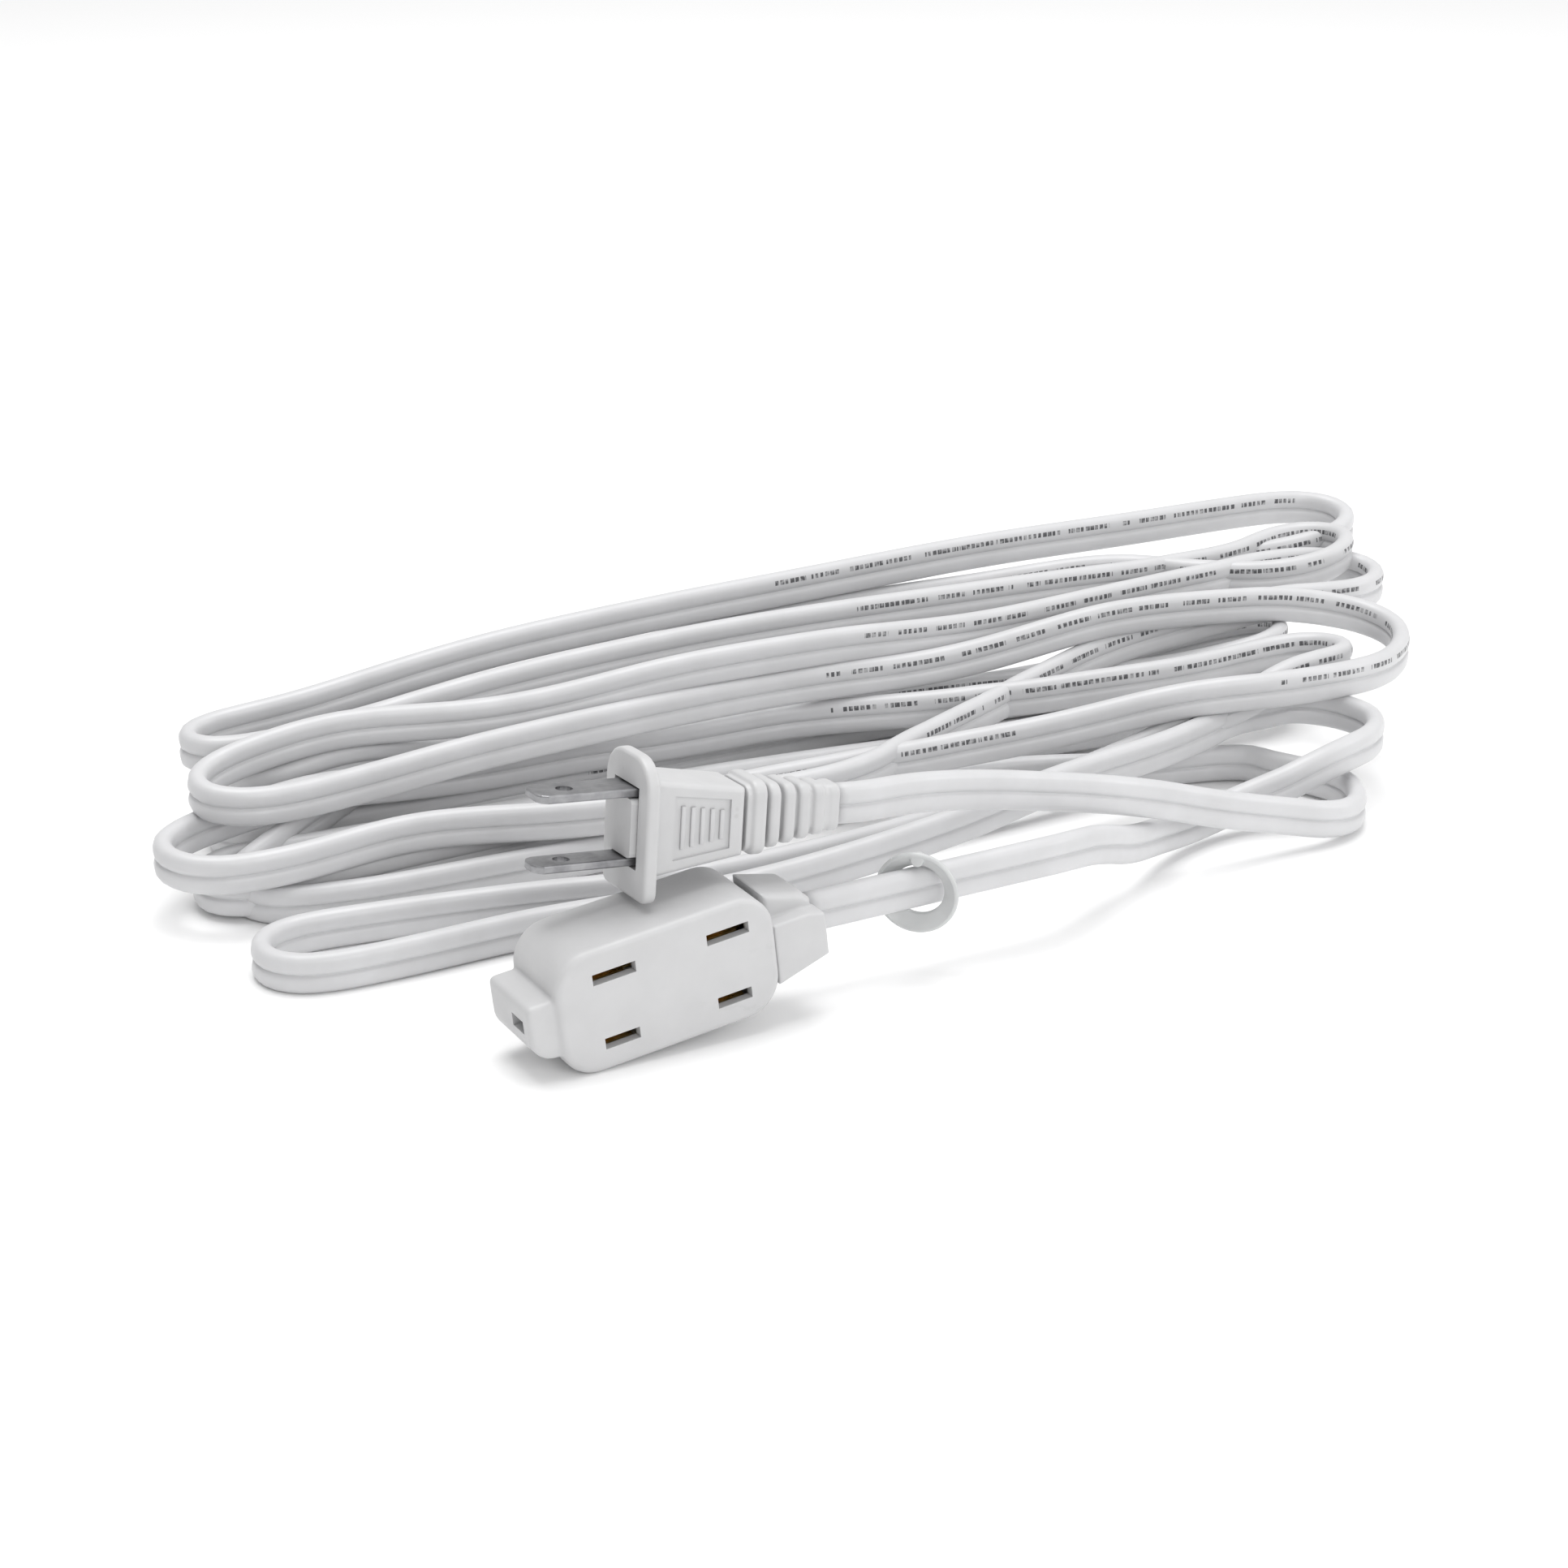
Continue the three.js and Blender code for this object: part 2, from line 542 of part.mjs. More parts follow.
// The ribbed strain relief: a flared collar, then ribs that step down towards the cord.
function makePlugRelief() {
  const start = plugBodyEnd + fitGap;
  const end = start + reliefLength;
  let relief = collarSlab(
    plugBodyEnd - plugNeckReach + fitGap, start + reliefRim[0] + lap, 0, plugNeckHalfY, plugNeckHalfZ,
    plugNeckCorner);
  relief = relief.add(collarSlab(
    start + reliefRim[0], start + reliefRim[1], 0, reliefRimHalfY, reliefRimHalfZ, reliefCorner));
  relief = relief.add(collarSlab(
    start + reliefCollar[0], start + reliefCollar[1], 0, reliefCollarHalfY, reliefCollarHalfZ, reliefCorner,
    reliefCollarEdge));
  const ribStart = start + reliefCollar[1] - lap;
  const ribPitch = (end - ribStart) / ribCount;
  for (let index = 0; index < ribCount; index += 1) {
    const halfZ = ribHalfZ - ribStepZ * index;
    const halfY = ribHalfY - ribStepY * index;
    const x = ribStart + index * ribPitch;
    relief = relief.add(collarSlab(
      x - lap, x + ribGap, 0, halfY - ribGapDrop, halfZ - ribGapDrop, ribGapCorner));
    relief = relief.add(collarSlab(x + ribGap - lap, x + ribPitch, 0, halfY, halfZ, reliefCorner, ribEdge));
  }
  return relief.subtract(wirePassage(0, end + cutPast, 0));
}

const plug = new THREE.Group();
plug.add(piece('plug_shell', makePlugShell(), whiteVinyl));
plug.add(piece('plug_bridge', makePlugBridge(), coreResin));
plug.add(piece('plug_strain_relief', makePlugRelief(), whiteVinyl));
const plugTailEnd = plugBodyEnd + fitGap + reliefLength;
for (const pole of poles) {
  plug.add(piece(`plug_blade_${pole.name}`, makeBlade(pole), platedBrass));
  const wire = makeWire(bladeRootEnd + fitGap, plugTailEnd - wireEndInset, 0, pole.side);
  plug.add(piece(`plug_wire_${pole.name}`, wire, copper));
}

// The plug lies on the tap's top side: its lowest flange corner is a gap above that face.
plug.rotation.set(degrees(plugRoll), degrees(plugPitch + tapPitchAngle), degrees(plugYaw), 'ZYX');
const flangeReach = Math.min(flangeDepth / 2 - flangeLowCorner, tapDepth - plugSeatY);
const flangeCorners = [flangeLowCorner - flangeDepth / 2, flangeReach].flatMap((y) => [0, flangeThickness].map(
  (x) => new THREE.Vector3(x, y, -flangeHeight / 2).applyEuler(plug.rotation)));
const lowestCorner = Math.min(...flangeCorners.map((corner) => corner.z));
plug.position.set(plugSeatX, plugSeatY, tapHalf + fitGap - lowestCorner);

// ---- Placing the tap ------------------------------------------------------------------------
// The tap lies on its lower long side with the tail end raised. Its footprint's centre is the origin.
const tapPose = new THREE.Group();
tapPose.rotation.y = -degrees(tapPitchAngle);
tapPose.add(tap);
tapPose.updateMatrixWorld(true);
const footprint = new THREE.Box3().setFromObject(tapPose, true);
tapPose.position.set(
  -(footprint.min.x + footprint.max.x) / 2, -(footprint.min.y + footprint.max.y) / 2, -footprint.min.z);
tapPose.add(plug);
tapPose.updateMatrixWorld(true);

// ---- Cord -----------------------------------------------------------------------------------
// A smooth route whose section keeps its wide side upright.
class CordRoute extends THREE.CatmullRomCurve3 {
  computeFrenetFrames(segments) {
    const frames = { tangents: [], normals: [], binormals: [] };
    for (let index = 0; index <= segments; index += 1) {
      const tangent = this.getTangentAt(index / segments);
      const binormal = axisZ.clone().addScaledVector(tangent, -tangent.z).normalize();
      frames.tangents.push(tangent);
      frames.binormals.push(binormal);
      frames.normals.push(binormal.clone().cross(tangent));
    }
    return frames;
  }
}

function cordSection() {
  const halfWide = cordWidth / 2;
  const halfThick = cordThickness / 2;
  const shoulder = halfWide - halfThick * cordShoulder;
  const ridge = halfThick * cordRidge;
  return polygon([
    [halfThick, -shoulder], [halfThick, shoulder], [ridge, halfWide], [-ridge, halfWide],
    [-halfThick, shoulder], [-halfThick, -shoulder], [-ridge, -halfWide], [ridge, -halfWide]]);
}

function makeCord(points, stepLength) {
  const route = new CordRoute(points, false, 'centripetal');
  const steps = Math.round(route.getLength() / stepLength);
  return new THREE.ExtrudeGeometry(cordSection(), { extrudePath: route, steps, bevelEnabled: false });
}

function laidPoint([x, y, z]) {
  return new THREE.Vector3(x, y, z * cordWidth / laidWidth);
}

// The level cord meets the raised tail at an angle, so its upright end face needs that much more room.
const tiltRoom = (cordWidth / 2) * Math.tan(degrees(tapPitchAngle));
const tapExit = new THREE.Vector3(tailEnd + fitGap + tiltRoom, tapMiddleY, 0).applyMatrix4(tapPose.matrixWorld);
const straightPoints = [0, 1 / 3, 2 / 3, 1].map(
  (share) => tapExit.clone().addScaledVector(axisX, share * straightLead));
const tapLead = [
  ...straightPoints,
  ...tapLeadPoints.map(laidPoint),
];
const plugExit = new THREE.Vector3(plugTailEnd + fitGap, 0, 0).applyMatrix4(plug.matrixWorld);
const plugStub = new THREE.Vector3(plugTailEnd + cordWidth, 0, 0).applyMatrix4(plug.matrixWorld);
const plugLead = [plugExit, plugStub, ...plugLeadPoints.map(laidPoint)];

// The hank's outline is two round ends joined by their outer tangents.
function makeHank() {
  const [x0, y0] = hankLeft;
  const [x1, y1] = hankRight;
  const heading = Math.atan2(y1 - y0, x1 - x0);
  const spread = Math.asin((hankRightRadius - hankLeftRadius) / Math.hypot(x1 - x0, y1 - y0));
  const outline = new THREE.Shape();
  const high = heading + Math.PI / 2 + spread;
  const low = heading - Math.PI / 2 - spread;
  outline.absarc(x1, y1, hankRightRadius, low, high, false);
  outline.absarc(x0, y0, hankLeftRadius, high, low + 2 * Math.PI, false);
  return extrusion(outline, hankHeight, hankEdge);
}

// ---- Slip ring --------------------------------------------------------------------------------
const ringHoleRadius = cordWidth / 2 + ringClearance;
const ringOuterRadius = ringHoleRadius + ringRim;

function makeRing() {
  const profile = [
    [ringHoleRadius, 0], [ringOuterRadius - ringEdge, ringDish], [ringOuterRadius, ringDish + ringEdge],
    [ringOuterRadius, ringDish + ringThickness - ringEdge], [ringOuterRadius - ringEdge, ringDish + ringThickness],
    [ringHoleRadius, ringThickness], [ringHoleRadius, 0]].map(([r, h]) => new THREE.Vector2(r, h));
  const dish = new THREE.LatheGeometry(profile, 28);
  dish.translate(0, -ringThickness / 2, 0);
  const boss = new THREE.CylinderGeometry(ringBossRadius, ringBossRadius, ringBossHeight + ringThickness, 12);
  boss.translate(0, (ringDish + ringBossHeight) / 2, (ringHoleRadius + ringOuterRadius) / 2);
  return toSolid(dish).add(toSolid(boss));
}

const ring = piece('slip_ring', makeRing(), clearPlastic);
ring.rotation.z = degrees(90 + ringSkew);
ring.position.copy(tapExit).add(new THREE.Vector3(ringFromTail, 0, -ringHang));

const extensionCord = new THREE.Group();
extensionCord.add(tapPose);
extensionCord.add(ring);
extensionCord.add(piece('cord_tap_lead', makeCord(tapLead, cordStep), cordVinyl));
extensionCord.add(piece('cord_plug_lead', makeCord(plugLead, cordStep), cordVinyl));
extensionCord.add(piece('cord_hank', makeHank(), cordVinyl));

export default extensionCord;
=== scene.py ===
import json
import math

import bmesh
import bpy
import numpy as np
from mathutils import Euler, Matrix, Vector


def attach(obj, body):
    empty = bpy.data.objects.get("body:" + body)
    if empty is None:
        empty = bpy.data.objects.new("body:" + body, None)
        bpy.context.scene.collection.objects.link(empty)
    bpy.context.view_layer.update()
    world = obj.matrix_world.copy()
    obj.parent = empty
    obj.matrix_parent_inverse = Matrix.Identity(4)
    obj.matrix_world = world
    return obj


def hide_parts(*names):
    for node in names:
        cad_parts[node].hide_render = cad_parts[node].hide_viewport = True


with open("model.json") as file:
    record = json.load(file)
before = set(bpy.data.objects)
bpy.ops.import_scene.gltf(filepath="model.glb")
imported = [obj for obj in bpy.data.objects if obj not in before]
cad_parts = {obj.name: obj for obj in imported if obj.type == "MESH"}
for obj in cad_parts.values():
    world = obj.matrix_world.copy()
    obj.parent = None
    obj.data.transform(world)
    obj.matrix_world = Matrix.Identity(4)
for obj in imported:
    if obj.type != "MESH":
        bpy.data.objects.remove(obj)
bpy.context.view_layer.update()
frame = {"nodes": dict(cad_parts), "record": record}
millimetre = 0.001
mounts = {mount["name"]: mount for mount in frame["record"]["mounts"]}


# Where the tap and the plug stand, worked out from their mounts.
def mountPoint(name):
    return Vector(mounts[name]["pos_m"])


plugSeat = {"bridgeProud": 1.2, "roll": -4.5}
tapOrigin = mountPoint("front_outlet_1_face")
tapLine = (mountPoint("front_outlet_2_face") - tapOrigin).normalized()
depthLine = Vector((0, 1, 0))
tapTurn = Matrix((tapLine, depthLine, tapLine.cross(depthLine))).transposed().to_4x4()
tapPlace = Matrix.Translation(tapOrigin) @ tapTurn @ Matrix.Scale(millimetre, 4)

bladeLine = Vector(mounts["plug_face"]["axis"]).normalized()
plugOrigin = mountPoint("plug_face") - bladeLine * plugSeat["bridgeProud"] * millimetre
inTap = tapTurn.to_3x3().transposed() @ -bladeLine
plugYaw = math.atan2(inTap.y, inTap.x)
plugPitch = -math.asin(inTap.z)
plugAngles = Euler((math.radians(plugSeat["roll"]), plugPitch, plugYaw), "XYZ")
plugTurn = tapTurn @ plugAngles.to_matrix().to_4x4()
plugPlace = Matrix.Translation(plugOrigin) @ plugTurn @ Matrix.Scale(millimetre, 4)
print("tap and plug placed")


def addToScene(name, data):
    made = bpy.data.objects.new(name, data)
    bpy.context.scene.collection.objects.link(made)
    return made


def aim(made, direction):
    made.rotation_mode = "QUATERNION"
    made.rotation_quaternion = Vector(direction).to_track_quat("-Z", "Y")


view = {
    "from": (-0.23566, -0.46284, 0.25722), "back": (-0.4552, -0.8078, 0.3746),
    "lens": 74.9, "sensor": 36.0, "near": 0.01, "far": 50,
}


def makeCamera():
    data = bpy.data.cameras.new("productCamera")
    data.lens = view["lens"]
    data.sensor_width = view["sensor"]
    data.clip_start = view["near"]
    data.clip_end = view["far"]
    camera = addToScene("productCamera", data)
    camera.location = view["from"]
    aim(camera, -Vector(view["back"]))
    bpy.context.scene.camera = camera


studio = {
    "floorSize": 8.0, "floorColour": (0.93, 0.93, 0.93, 1), "floorRoughness": 0.9, "skyStrength": 0.62,
    "lamps": [
        # name, place, aimed at, size, watts
        ("overhead", (0.1, 0.3, 1.5), (0.09, 0.08, 0), 1.2, 17),
        ("frontSoft", (0.1, -1.5, 0.8), (0.09, 0.08, 0.02), 0.8, 7.5),
        ("rightSoft", (1.3, -0.7, 0.7), (0.09, 0.08, 0.02), 0.8, 4),
    ],
}


def makeStudio():
    world = bpy.data.worlds.new("studioSky")
    bpy.context.scene.world = world
    world.use_nodes = True
    sky = world.node_tree.nodes["Background"]
    sky.inputs["Color"].default_value = (1, 1, 1, 1)
    sky.inputs["Strength"].default_value = studio["skyStrength"]
    for name, place, target, size, watts in studio["lamps"]:
        data = bpy.data.lights.new(name, "AREA")
        data.shape = "DISK"
        data.size = size
        data.energy = watts
        lamp = addToScene(name, data)
        lamp.location = place
        aim(lamp, Vector(target) - Vector(place))
    half = studio["floorSize"] / 2
    corners = [(-half, -half, 0), (half, -half, 0), (half, half, 0), (-half, half, 0)]
    mesh = bpy.data.meshes.new("floor")
    mesh.from_pydata(corners, [], [(0, 1, 2, 3)])
    paper = bpy.data.materials.new("floorPaper")
    paper.use_nodes = True
    shader = paper.node_tree.nodes["Principled BSDF"]
    shader.inputs["Base Color"].default_value = studio["floorColour"]
    shader.inputs["Roughness"].default_value = studio["floorRoughness"]
    mesh.materials.append(paper)
    addToScene("floor", mesh)
    bpy.context.scene.view_settings.view_transform = "Standard"


makeCamera()
makeStudio()
print("camera, light and floor made")


def link(tree, a, b):
    tree.links.new(a, b)


def feed(tree, socket, value):  # a number or a colour is set on the socket, an output is linked to it
    if isinstance(value, (int, float, tuple)):
        socket.default_value = value
    else:
        link(tree, value, socket)


def mathNode(tree, operation, first, second=None):
    node = tree.nodes.new("ShaderNodeMath")
    node.operation = operation
    feed(tree, node.inputs[0], first)
    if second is not None:
        feed(tree, node.inputs[1], second)
    return node.outputs[0]


def noiseNode(tree, vector, scale, detail=3.0, roughness=0.5):
    node = tree.nodes.new("ShaderNodeTexNoise")
    node.inputs["Detail"].default_value = detail
    node.inputs["Roughness"].default_value = roughness
    feed(tree, node.inputs["Scale"], scale)
    link(tree, vector, node.inputs["Vector"])
    return node.outputs["Fac"]


def rangeNode(tree, value, low, high, outLow=0.0, outHigh=1.0):
    node = tree.nodes.new("ShaderNodeMapRange")
    node.clamp = True
    for name, number in (("From Min", low), ("From Max", high), ("To Min", outLow), ("To Max", outHigh)):
        node.inputs[name].default_value = number
    link(tree, value, node.inputs["Value"])
    return node.outputs["Result"]


def mixColour(tree, factor, first, second):
    node = tree.nodes.new("ShaderNodeMix")
    node.data_type = "RGBA"
    link(tree, factor, node.inputs["Factor"])
    feed(tree, node.inputs["A"], first)
    feed(tree, node.inputs["B"], second)
    return node.outputs["Result"]


def newGroup(name, inputs, outputs):
    group = bpy.data.node_groups.new(name, "ShaderNodeTree")
    for inputName, kind, value in inputs:
        socket = group.interface.new_socket(inputName, in_out="INPUT", socket_type=kind)
        if value is not None:
            socket.default_value = value
    for outputName in outputs:
        group.interface.new_socket(outputName, in_out="OUTPUT", socket_type="NodeSocketFloat")
    source = group.nodes.new("NodeGroupInput")
    sink = group.nodes.new("NodeGroupOutput")
    return group, source, sink


skin = {
    "grain": 1800.0, "grainShare": 0.35, "cloud": 90.0,
    "speckCells": 210.0, "speckBand": (0.05, 0.11), "speckPatches": 70.0, "patchBand": (0.58, 0.66),
}


def makeMouldedSkin():  # soft unevenness, a fine grain and a few specks, as moulded vinyl has
    group, source, sink = newGroup(
        "mouldedSkin",
        [("Vector", "NodeSocketVector", None), ("Grain Size", "NodeSocketFloat", skin["grain"]),
         ("Cloud Size", "NodeSocketFloat", skin["cloud"])],
        ["Cloud", "Height", "Specks"])
    vector = source.outputs["Vector"]
    grain = noiseNode(group, vector, source.outputs["Grain Size"], 2.0)
    cloud = noiseNode(group, vector, source.outputs["Cloud Size"], 4.0, 0.6)
    height = mathNode(group, "ADD", mathNode(group, "MULTIPLY", grain, skin["grainShare"]), cloud)
    cells = group.nodes.new("ShaderNodeTexVoronoi")
    cells.inputs["Scale"].default_value = skin["speckCells"]
    link(group, vector, cells.inputs["Vector"])
    patches = rangeNode(group, noiseNode(group, vector, skin["speckPatches"], 1.0), *skin["patchBand"])
    specks = rangeNode(group, cells.outputs["Distance"], *skin["speckBand"], 1.0, 0.0)
    link(group, cloud, sink.inputs["Cloud"])
    link(group, height, sink.inputs["Height"])
    link(group, mathNode(group, "MULTIPLY", specks, patches), sink.inputs["Specks"])
    return group


scuffs = {
    "turn": (0.3, 0.5, 0.8), "stretch": (1.0, 5.0, 2.2), "size": 140.0, "amount": 0.5,
    "streakBand": (0.60, 0.72), "patches": 45.0, "patchBand": (0.45, 0.62),
}


def makeHandlingScuffs():  # short rubbed marks left by use
    group, source, sink = newGroup(
        "handlingScuffs",
        [("Vector", "NodeSocketVector", None), ("Size", "NodeSocketFloat", scuffs["size"]),
         ("Amount", "NodeSocketFloat", scuffs["amount"])],
        ["Mask"])
    mapping = group.nodes.new("ShaderNodeMapping")
    mapping.inputs["Rotation"].default_value = scuffs["turn"]
    mapping.inputs["Scale"].default_value = scuffs["stretch"]
    link(group, source.outputs["Vector"], mapping.inputs["Vector"])
    streaks = noiseNode(group, mapping.outputs["Vector"], source.outputs["Size"], 4.0, 0.65)
    streaks = rangeNode(group, streaks, *scuffs["streakBand"])
    patches = noiseNode(group, source.outputs["Vector"], scuffs["patches"], 2.0)
    patches = rangeNode(group, patches, *scuffs["patchBand"])
    both = mathNode(group, "MULTIPLY", streaks, patches)
    link(group, mathNode(group, "MULTIPLY", both, source.outputs["Amount"]), sink.inputs["Mask"])
    return group


mouldedSkin = makeMouldedSkin()
handlingScuffs = makeHandlingScuffs()


def newMaterial(name):
    material = bpy.data.materials.new(name)
    material.use_nodes = True
    tree = material.node_tree
    coordinates = tree.nodes.new("ShaderNodeTexCoord")
    return material, tree, tree.nodes["Principled BSDF"], coordinates.outputs["Object"]


def placeGroup(tree, group, vector, **values):
    node = tree.nodes.new("ShaderNodeGroup")
    node.node_tree = group
    link(tree, vector, node.inputs["Vector"])
    for name, value in values.items():
        node.inputs[name].default_value = value
    return node


def bumpFrom(tree, height, shader, strength, distance):
    bump = tree.nodes.new("ShaderNodeBump")
    bump.inputs["Strength"].default_value = strength
    bump.inputs["Distance"].default_value = distance
    link(tree, height, bump.inputs["Height"])
    link(tree, bump.outputs["Normal"], shader.inputs["Normal"])


vinylLook = {
    "base": (0.545, 0.545, 0.55, 1), "cloud": (0.51, 0.51, 0.515, 1), "cloudBand": (0.35, 0.7),
    "scuff": (0.44, 0.44, 0.44, 1), "scuffAmount": 0.55, "scuffRough": 0.2,
    "speck": (0.33, 0.32, 0.31, 1), "speckShare": 0.25,
    "roughBand": (0.3, 0.7), "rough": (0.38, 0.52),
    "subsurface": 0.08, "depth": (0.0012, 0.0011, 0.001), "bump": (0.12, 0.0002),
}
coreLook = {**vinylLook, "base": (0.62, 0.61, 0.59, 1), "cloud": (0.56, 0.55, 0.53, 1), "rough": (0.5, 0.65)}


def makeMouldedVinyl(name, look):
    material, tree, shader, vector = newMaterial(name)
    moulded = placeGroup(tree, mouldedSkin, vector)
    rubbed = placeGroup(tree, handlingScuffs, vector, Amount=look["scuffAmount"]).outputs["Mask"]
    cloud = moulded.outputs["Cloud"]
    colour = mixColour(tree, rangeNode(tree, cloud, *look["cloudBand"]), look["base"], look["cloud"])
    colour = mixColour(tree, rubbed, colour, look["scuff"])
    specks = mathNode(tree, "MULTIPLY", moulded.outputs["Specks"], look["speckShare"])
    colour = mixColour(tree, specks, colour, look["speck"])
    link(tree, colour, shader.inputs["Base Color"])
    rough = rangeNode(tree, cloud, *look["roughBand"], *look["rough"])
    rough = mathNode(tree, "ADD", rough, mathNode(tree, "MULTIPLY", rubbed, look["scuffRough"]))
    link(tree, rough, shader.inputs["Roughness"])
    shader.inputs["Subsurface Weight"].default_value = look["subsurface"]
    shader.inputs["Subsurface Radius"].default_value = look["depth"]
    bumpFrom(tree, moulded.outputs["Height"], shader, *look["bump"])
    return material


cordLook = {
    "base": (0.60, 0.60, 0.61, 1), "cloud": (0.555, 0.555, 0.563, 1), "cloudBand": (0.3, 0.7),
    "rough": (0.34, 0.46), "subsurface": 0.08, "depth": (0.0012, 0.0011, 0.001),
    "lineSize": (12.0, 1500.0), "bump": (0.15, 0.0001),
    "print": (0.06, 0.06, 0.065, 1), "printHeight": 0.0021, "printHalf": 0.0005,
    "markPitch": 0.00125, "markShare": (0.55, 0.9), "wordPitch": 0.0095, "wordShare": (0.7, 0.98),
    "blockPitch": 0.052, "blockShare": 0.93, "wear": 900.0, "wearBand": (0.35, 0.55), "ink": (0.35, 0.95),
}


def attributeValue(tree, name):
    node = tree.nodes.new("ShaderNodeAttribute")
    node.attribute_name = name
    return node.outputs["Fac"]


def stretchOf(tree, steps, share):  # 1 over the first part of each whole step, whose share is random
    cell = tree.nodes.new("ShaderNodeTexWhiteNoise")
    cell.noise_dimensions = "1D"
    link(tree, mathNode(tree, "FLOOR", steps), cell.inputs["W"])
    end = rangeNode(tree, cell.outputs["Value"], 0.0, 1.0, *share)
    return mathNode(tree, "LESS_THAN", mathNode(tree, "FRACT", steps), end)


def makeCordVinyl():
    material, tree, shader, vector = newMaterial("cordVinyl")
    run = attributeValue(tree, "cordRun")
    across = attributeValue(tree, "cordHeight")
    moulded = placeGroup(tree, mouldedSkin, vector)
    cloud = moulded.outputs["Cloud"]
    colour = mixColour(tree, rangeNode(tree, cloud, *cordLook["cloudBand"]), cordLook["base"], cordLook["cloud"])
    # Plain dashes stand in a row on one lobe, in blocks along the cord.
    blocks = mathNode(tree, "FRACT", mathNode(tree, "DIVIDE", run, cordLook["blockPitch"]))
    offCentre = mathNode(tree, "ABSOLUTE", mathNode(tree, "SUBTRACT", across, cordLook["printHeight"]))
    mask = noiseNode(tree, vector, cordLook["wear"], 3.0)
    mask = rangeNode(tree, mask, *cordLook["wearBand"], *cordLook["ink"])
    for share in (
        stretchOf(tree, mathNode(tree, "DIVIDE", run, cordLook["markPitch"]), cordLook["markShare"]),
        stretchOf(tree, mathNode(tree, "DIVIDE", run, cordLook["wordPitch"]), cordLook["wordShare"]),
        mathNode(tree, "LESS_THAN", blocks, cordLook["blockShare"]),
        mathNode(tree, "LESS_THAN", offCentre, cordLook["printHalf"]),
        mathNode(tree, "GREATER_THAN", attributeValue(tree, "cordPrint"), 0.5),
    ):
        mask = mathNode(tree, "MULTIPLY", mask, share)
    link(tree, mixColour(tree, mask, colour, cordLook["print"]), shader.inputs["Base Color"])
    rough = rangeNode(tree, cloud, *cordLook["cloudBand"], *cordLook["rough"])
    link(tree, rough, shader.inputs["Roughness"])
    shader.inputs["Subsurface Weight"].default_value = cordLook["subsurface"]
    shader.inputs["Subsurface Radius"].default_value = cordLook["depth"]
    # Drawn lines run along the cord.
    combine = tree.nodes.new("ShaderNodeCombineXYZ")
    link(tree, mathNode(tree, "MULTIPLY", run, cordLook["lineSize"][0]), combine.inputs["X"])
    link(tree, mathNode(tree, "MULTIPLY", across, cordLook["lineSize"][1]), combine.inputs["Y"])
    drawn = noiseNode(tree, combine.outputs["Vector"], 1.0, 2.0)
    bumpFrom(tree, mathNode(tree, "ADD", drawn, moulded.outputs["Height"]), shader, *cordLook["bump"])
    return material


clearLook = {
    "base": (0.70, 0.71, 0.71, 1), "cloud": (0.64, 0.65, 0.65, 1), "cloudBand": (0.3, 0.7),
    "rough": (0.16, 0.3), "transmission": 0.25, "ior": 1.35, "bump": (0.1, 0.0001),
}


def makeClearPlastic():
    material, tree, shader, vector = newMaterial("clearPlastic")
    moulded = placeGroup(tree, mouldedSkin, vector)
    cloud = moulded.outputs["Cloud"]
    clouded = rangeNode(tree, cloud, *clearLook["cloudBand"])
    link(tree, mixColour(tree, clouded, clearLook["base"], clearLook["cloud"]), shader.inputs["Base Color"])
    rough = rangeNode(tree, cloud, *clearLook["cloudBand"], *clearLook["rough"])
    link(tree, rough, shader.inputs["Roughness"])
    shader.inputs["Transmission Weight"].default_value = clearLook["transmission"]
    shader.inputs["IOR"].default_value = clearLook["ior"]
    bumpFrom(tree, moulded.outputs["Height"], shader, *clearLook["bump"])
    return material


metalLooks = {
    "platedBrass": {"base": (0.36, 0.36, 0.37, 1), "dark": (0.22, 0.22, 0.23, 1), "rough": (0.3, 0.5)},
    "springBrass": {"base": (0.80, 0.62, 0.30, 1), "dark": (0.55, 0.38, 0.16, 1), "rough": (0.22, 0.42)},
    "strandedCopper": {"base": (0.80, 0.45, 0.28, 1), "dark": (0.50, 0.24, 0.12, 1), "rough": (0.25, 0.45)},
}
metalGrain = {
    "size": 160.0, "band": (0.3, 0.7), "bump": (0.25, 0.00006), "tarnish": 260.0, "tarnishBand": (0.4, 0.75),
    "rolled": (1.0, 14.0, 14.0), "stranded": (9.0, 1.0, 9.0),
}


def makeMetal(name, stretch):
    look = metalLooks[name]
    material, tree, shader, vector = newMaterial(name)
    mapping = tree.nodes.new("ShaderNodeMapping")
    mapping.inputs["Scale"].default_value = stretch
    link(tree, vector, mapping.inputs["Vector"])
    grain = noiseNode(tree, mapping.outputs["Vector"], metalGrain["size"], 4.0, 0.6)
    tarnish = noiseNode(tree, vector, metalGrain["tarnish"], 3.0, 0.6)
    colour = mixColour(tree, rangeNode(tree, tarnish, *metalGrain["tarnishBand"]), look["base"], look["dark"])
    link(tree, colour, shader.inputs["Base Color"])
    link(tree, rangeNode(tree, grain, *metalGrain["band"], *look["rough"]), shader.inputs["Roughness"])
    shader.inputs["Metallic"].default_value = 1.0
    bumpFrom(tree, grain, shader, *metalGrain["bump"])
    return material


whiteVinyl = makeMouldedVinyl("whiteVinyl", vinylLook)
coreResin = makeMouldedVinyl("coreResin", coreLook)
cordVinyl = makeCordVinyl()
clearPlastic = makeClearPlastic()
platedBrass = makeMetal("platedBrass", metalGrain["rolled"])
springBrass = makeMetal("springBrass", metalGrain["rolled"])
strandedCopper = makeMetal("strandedCopper", metalGrain["stranded"])
print("finishes made")


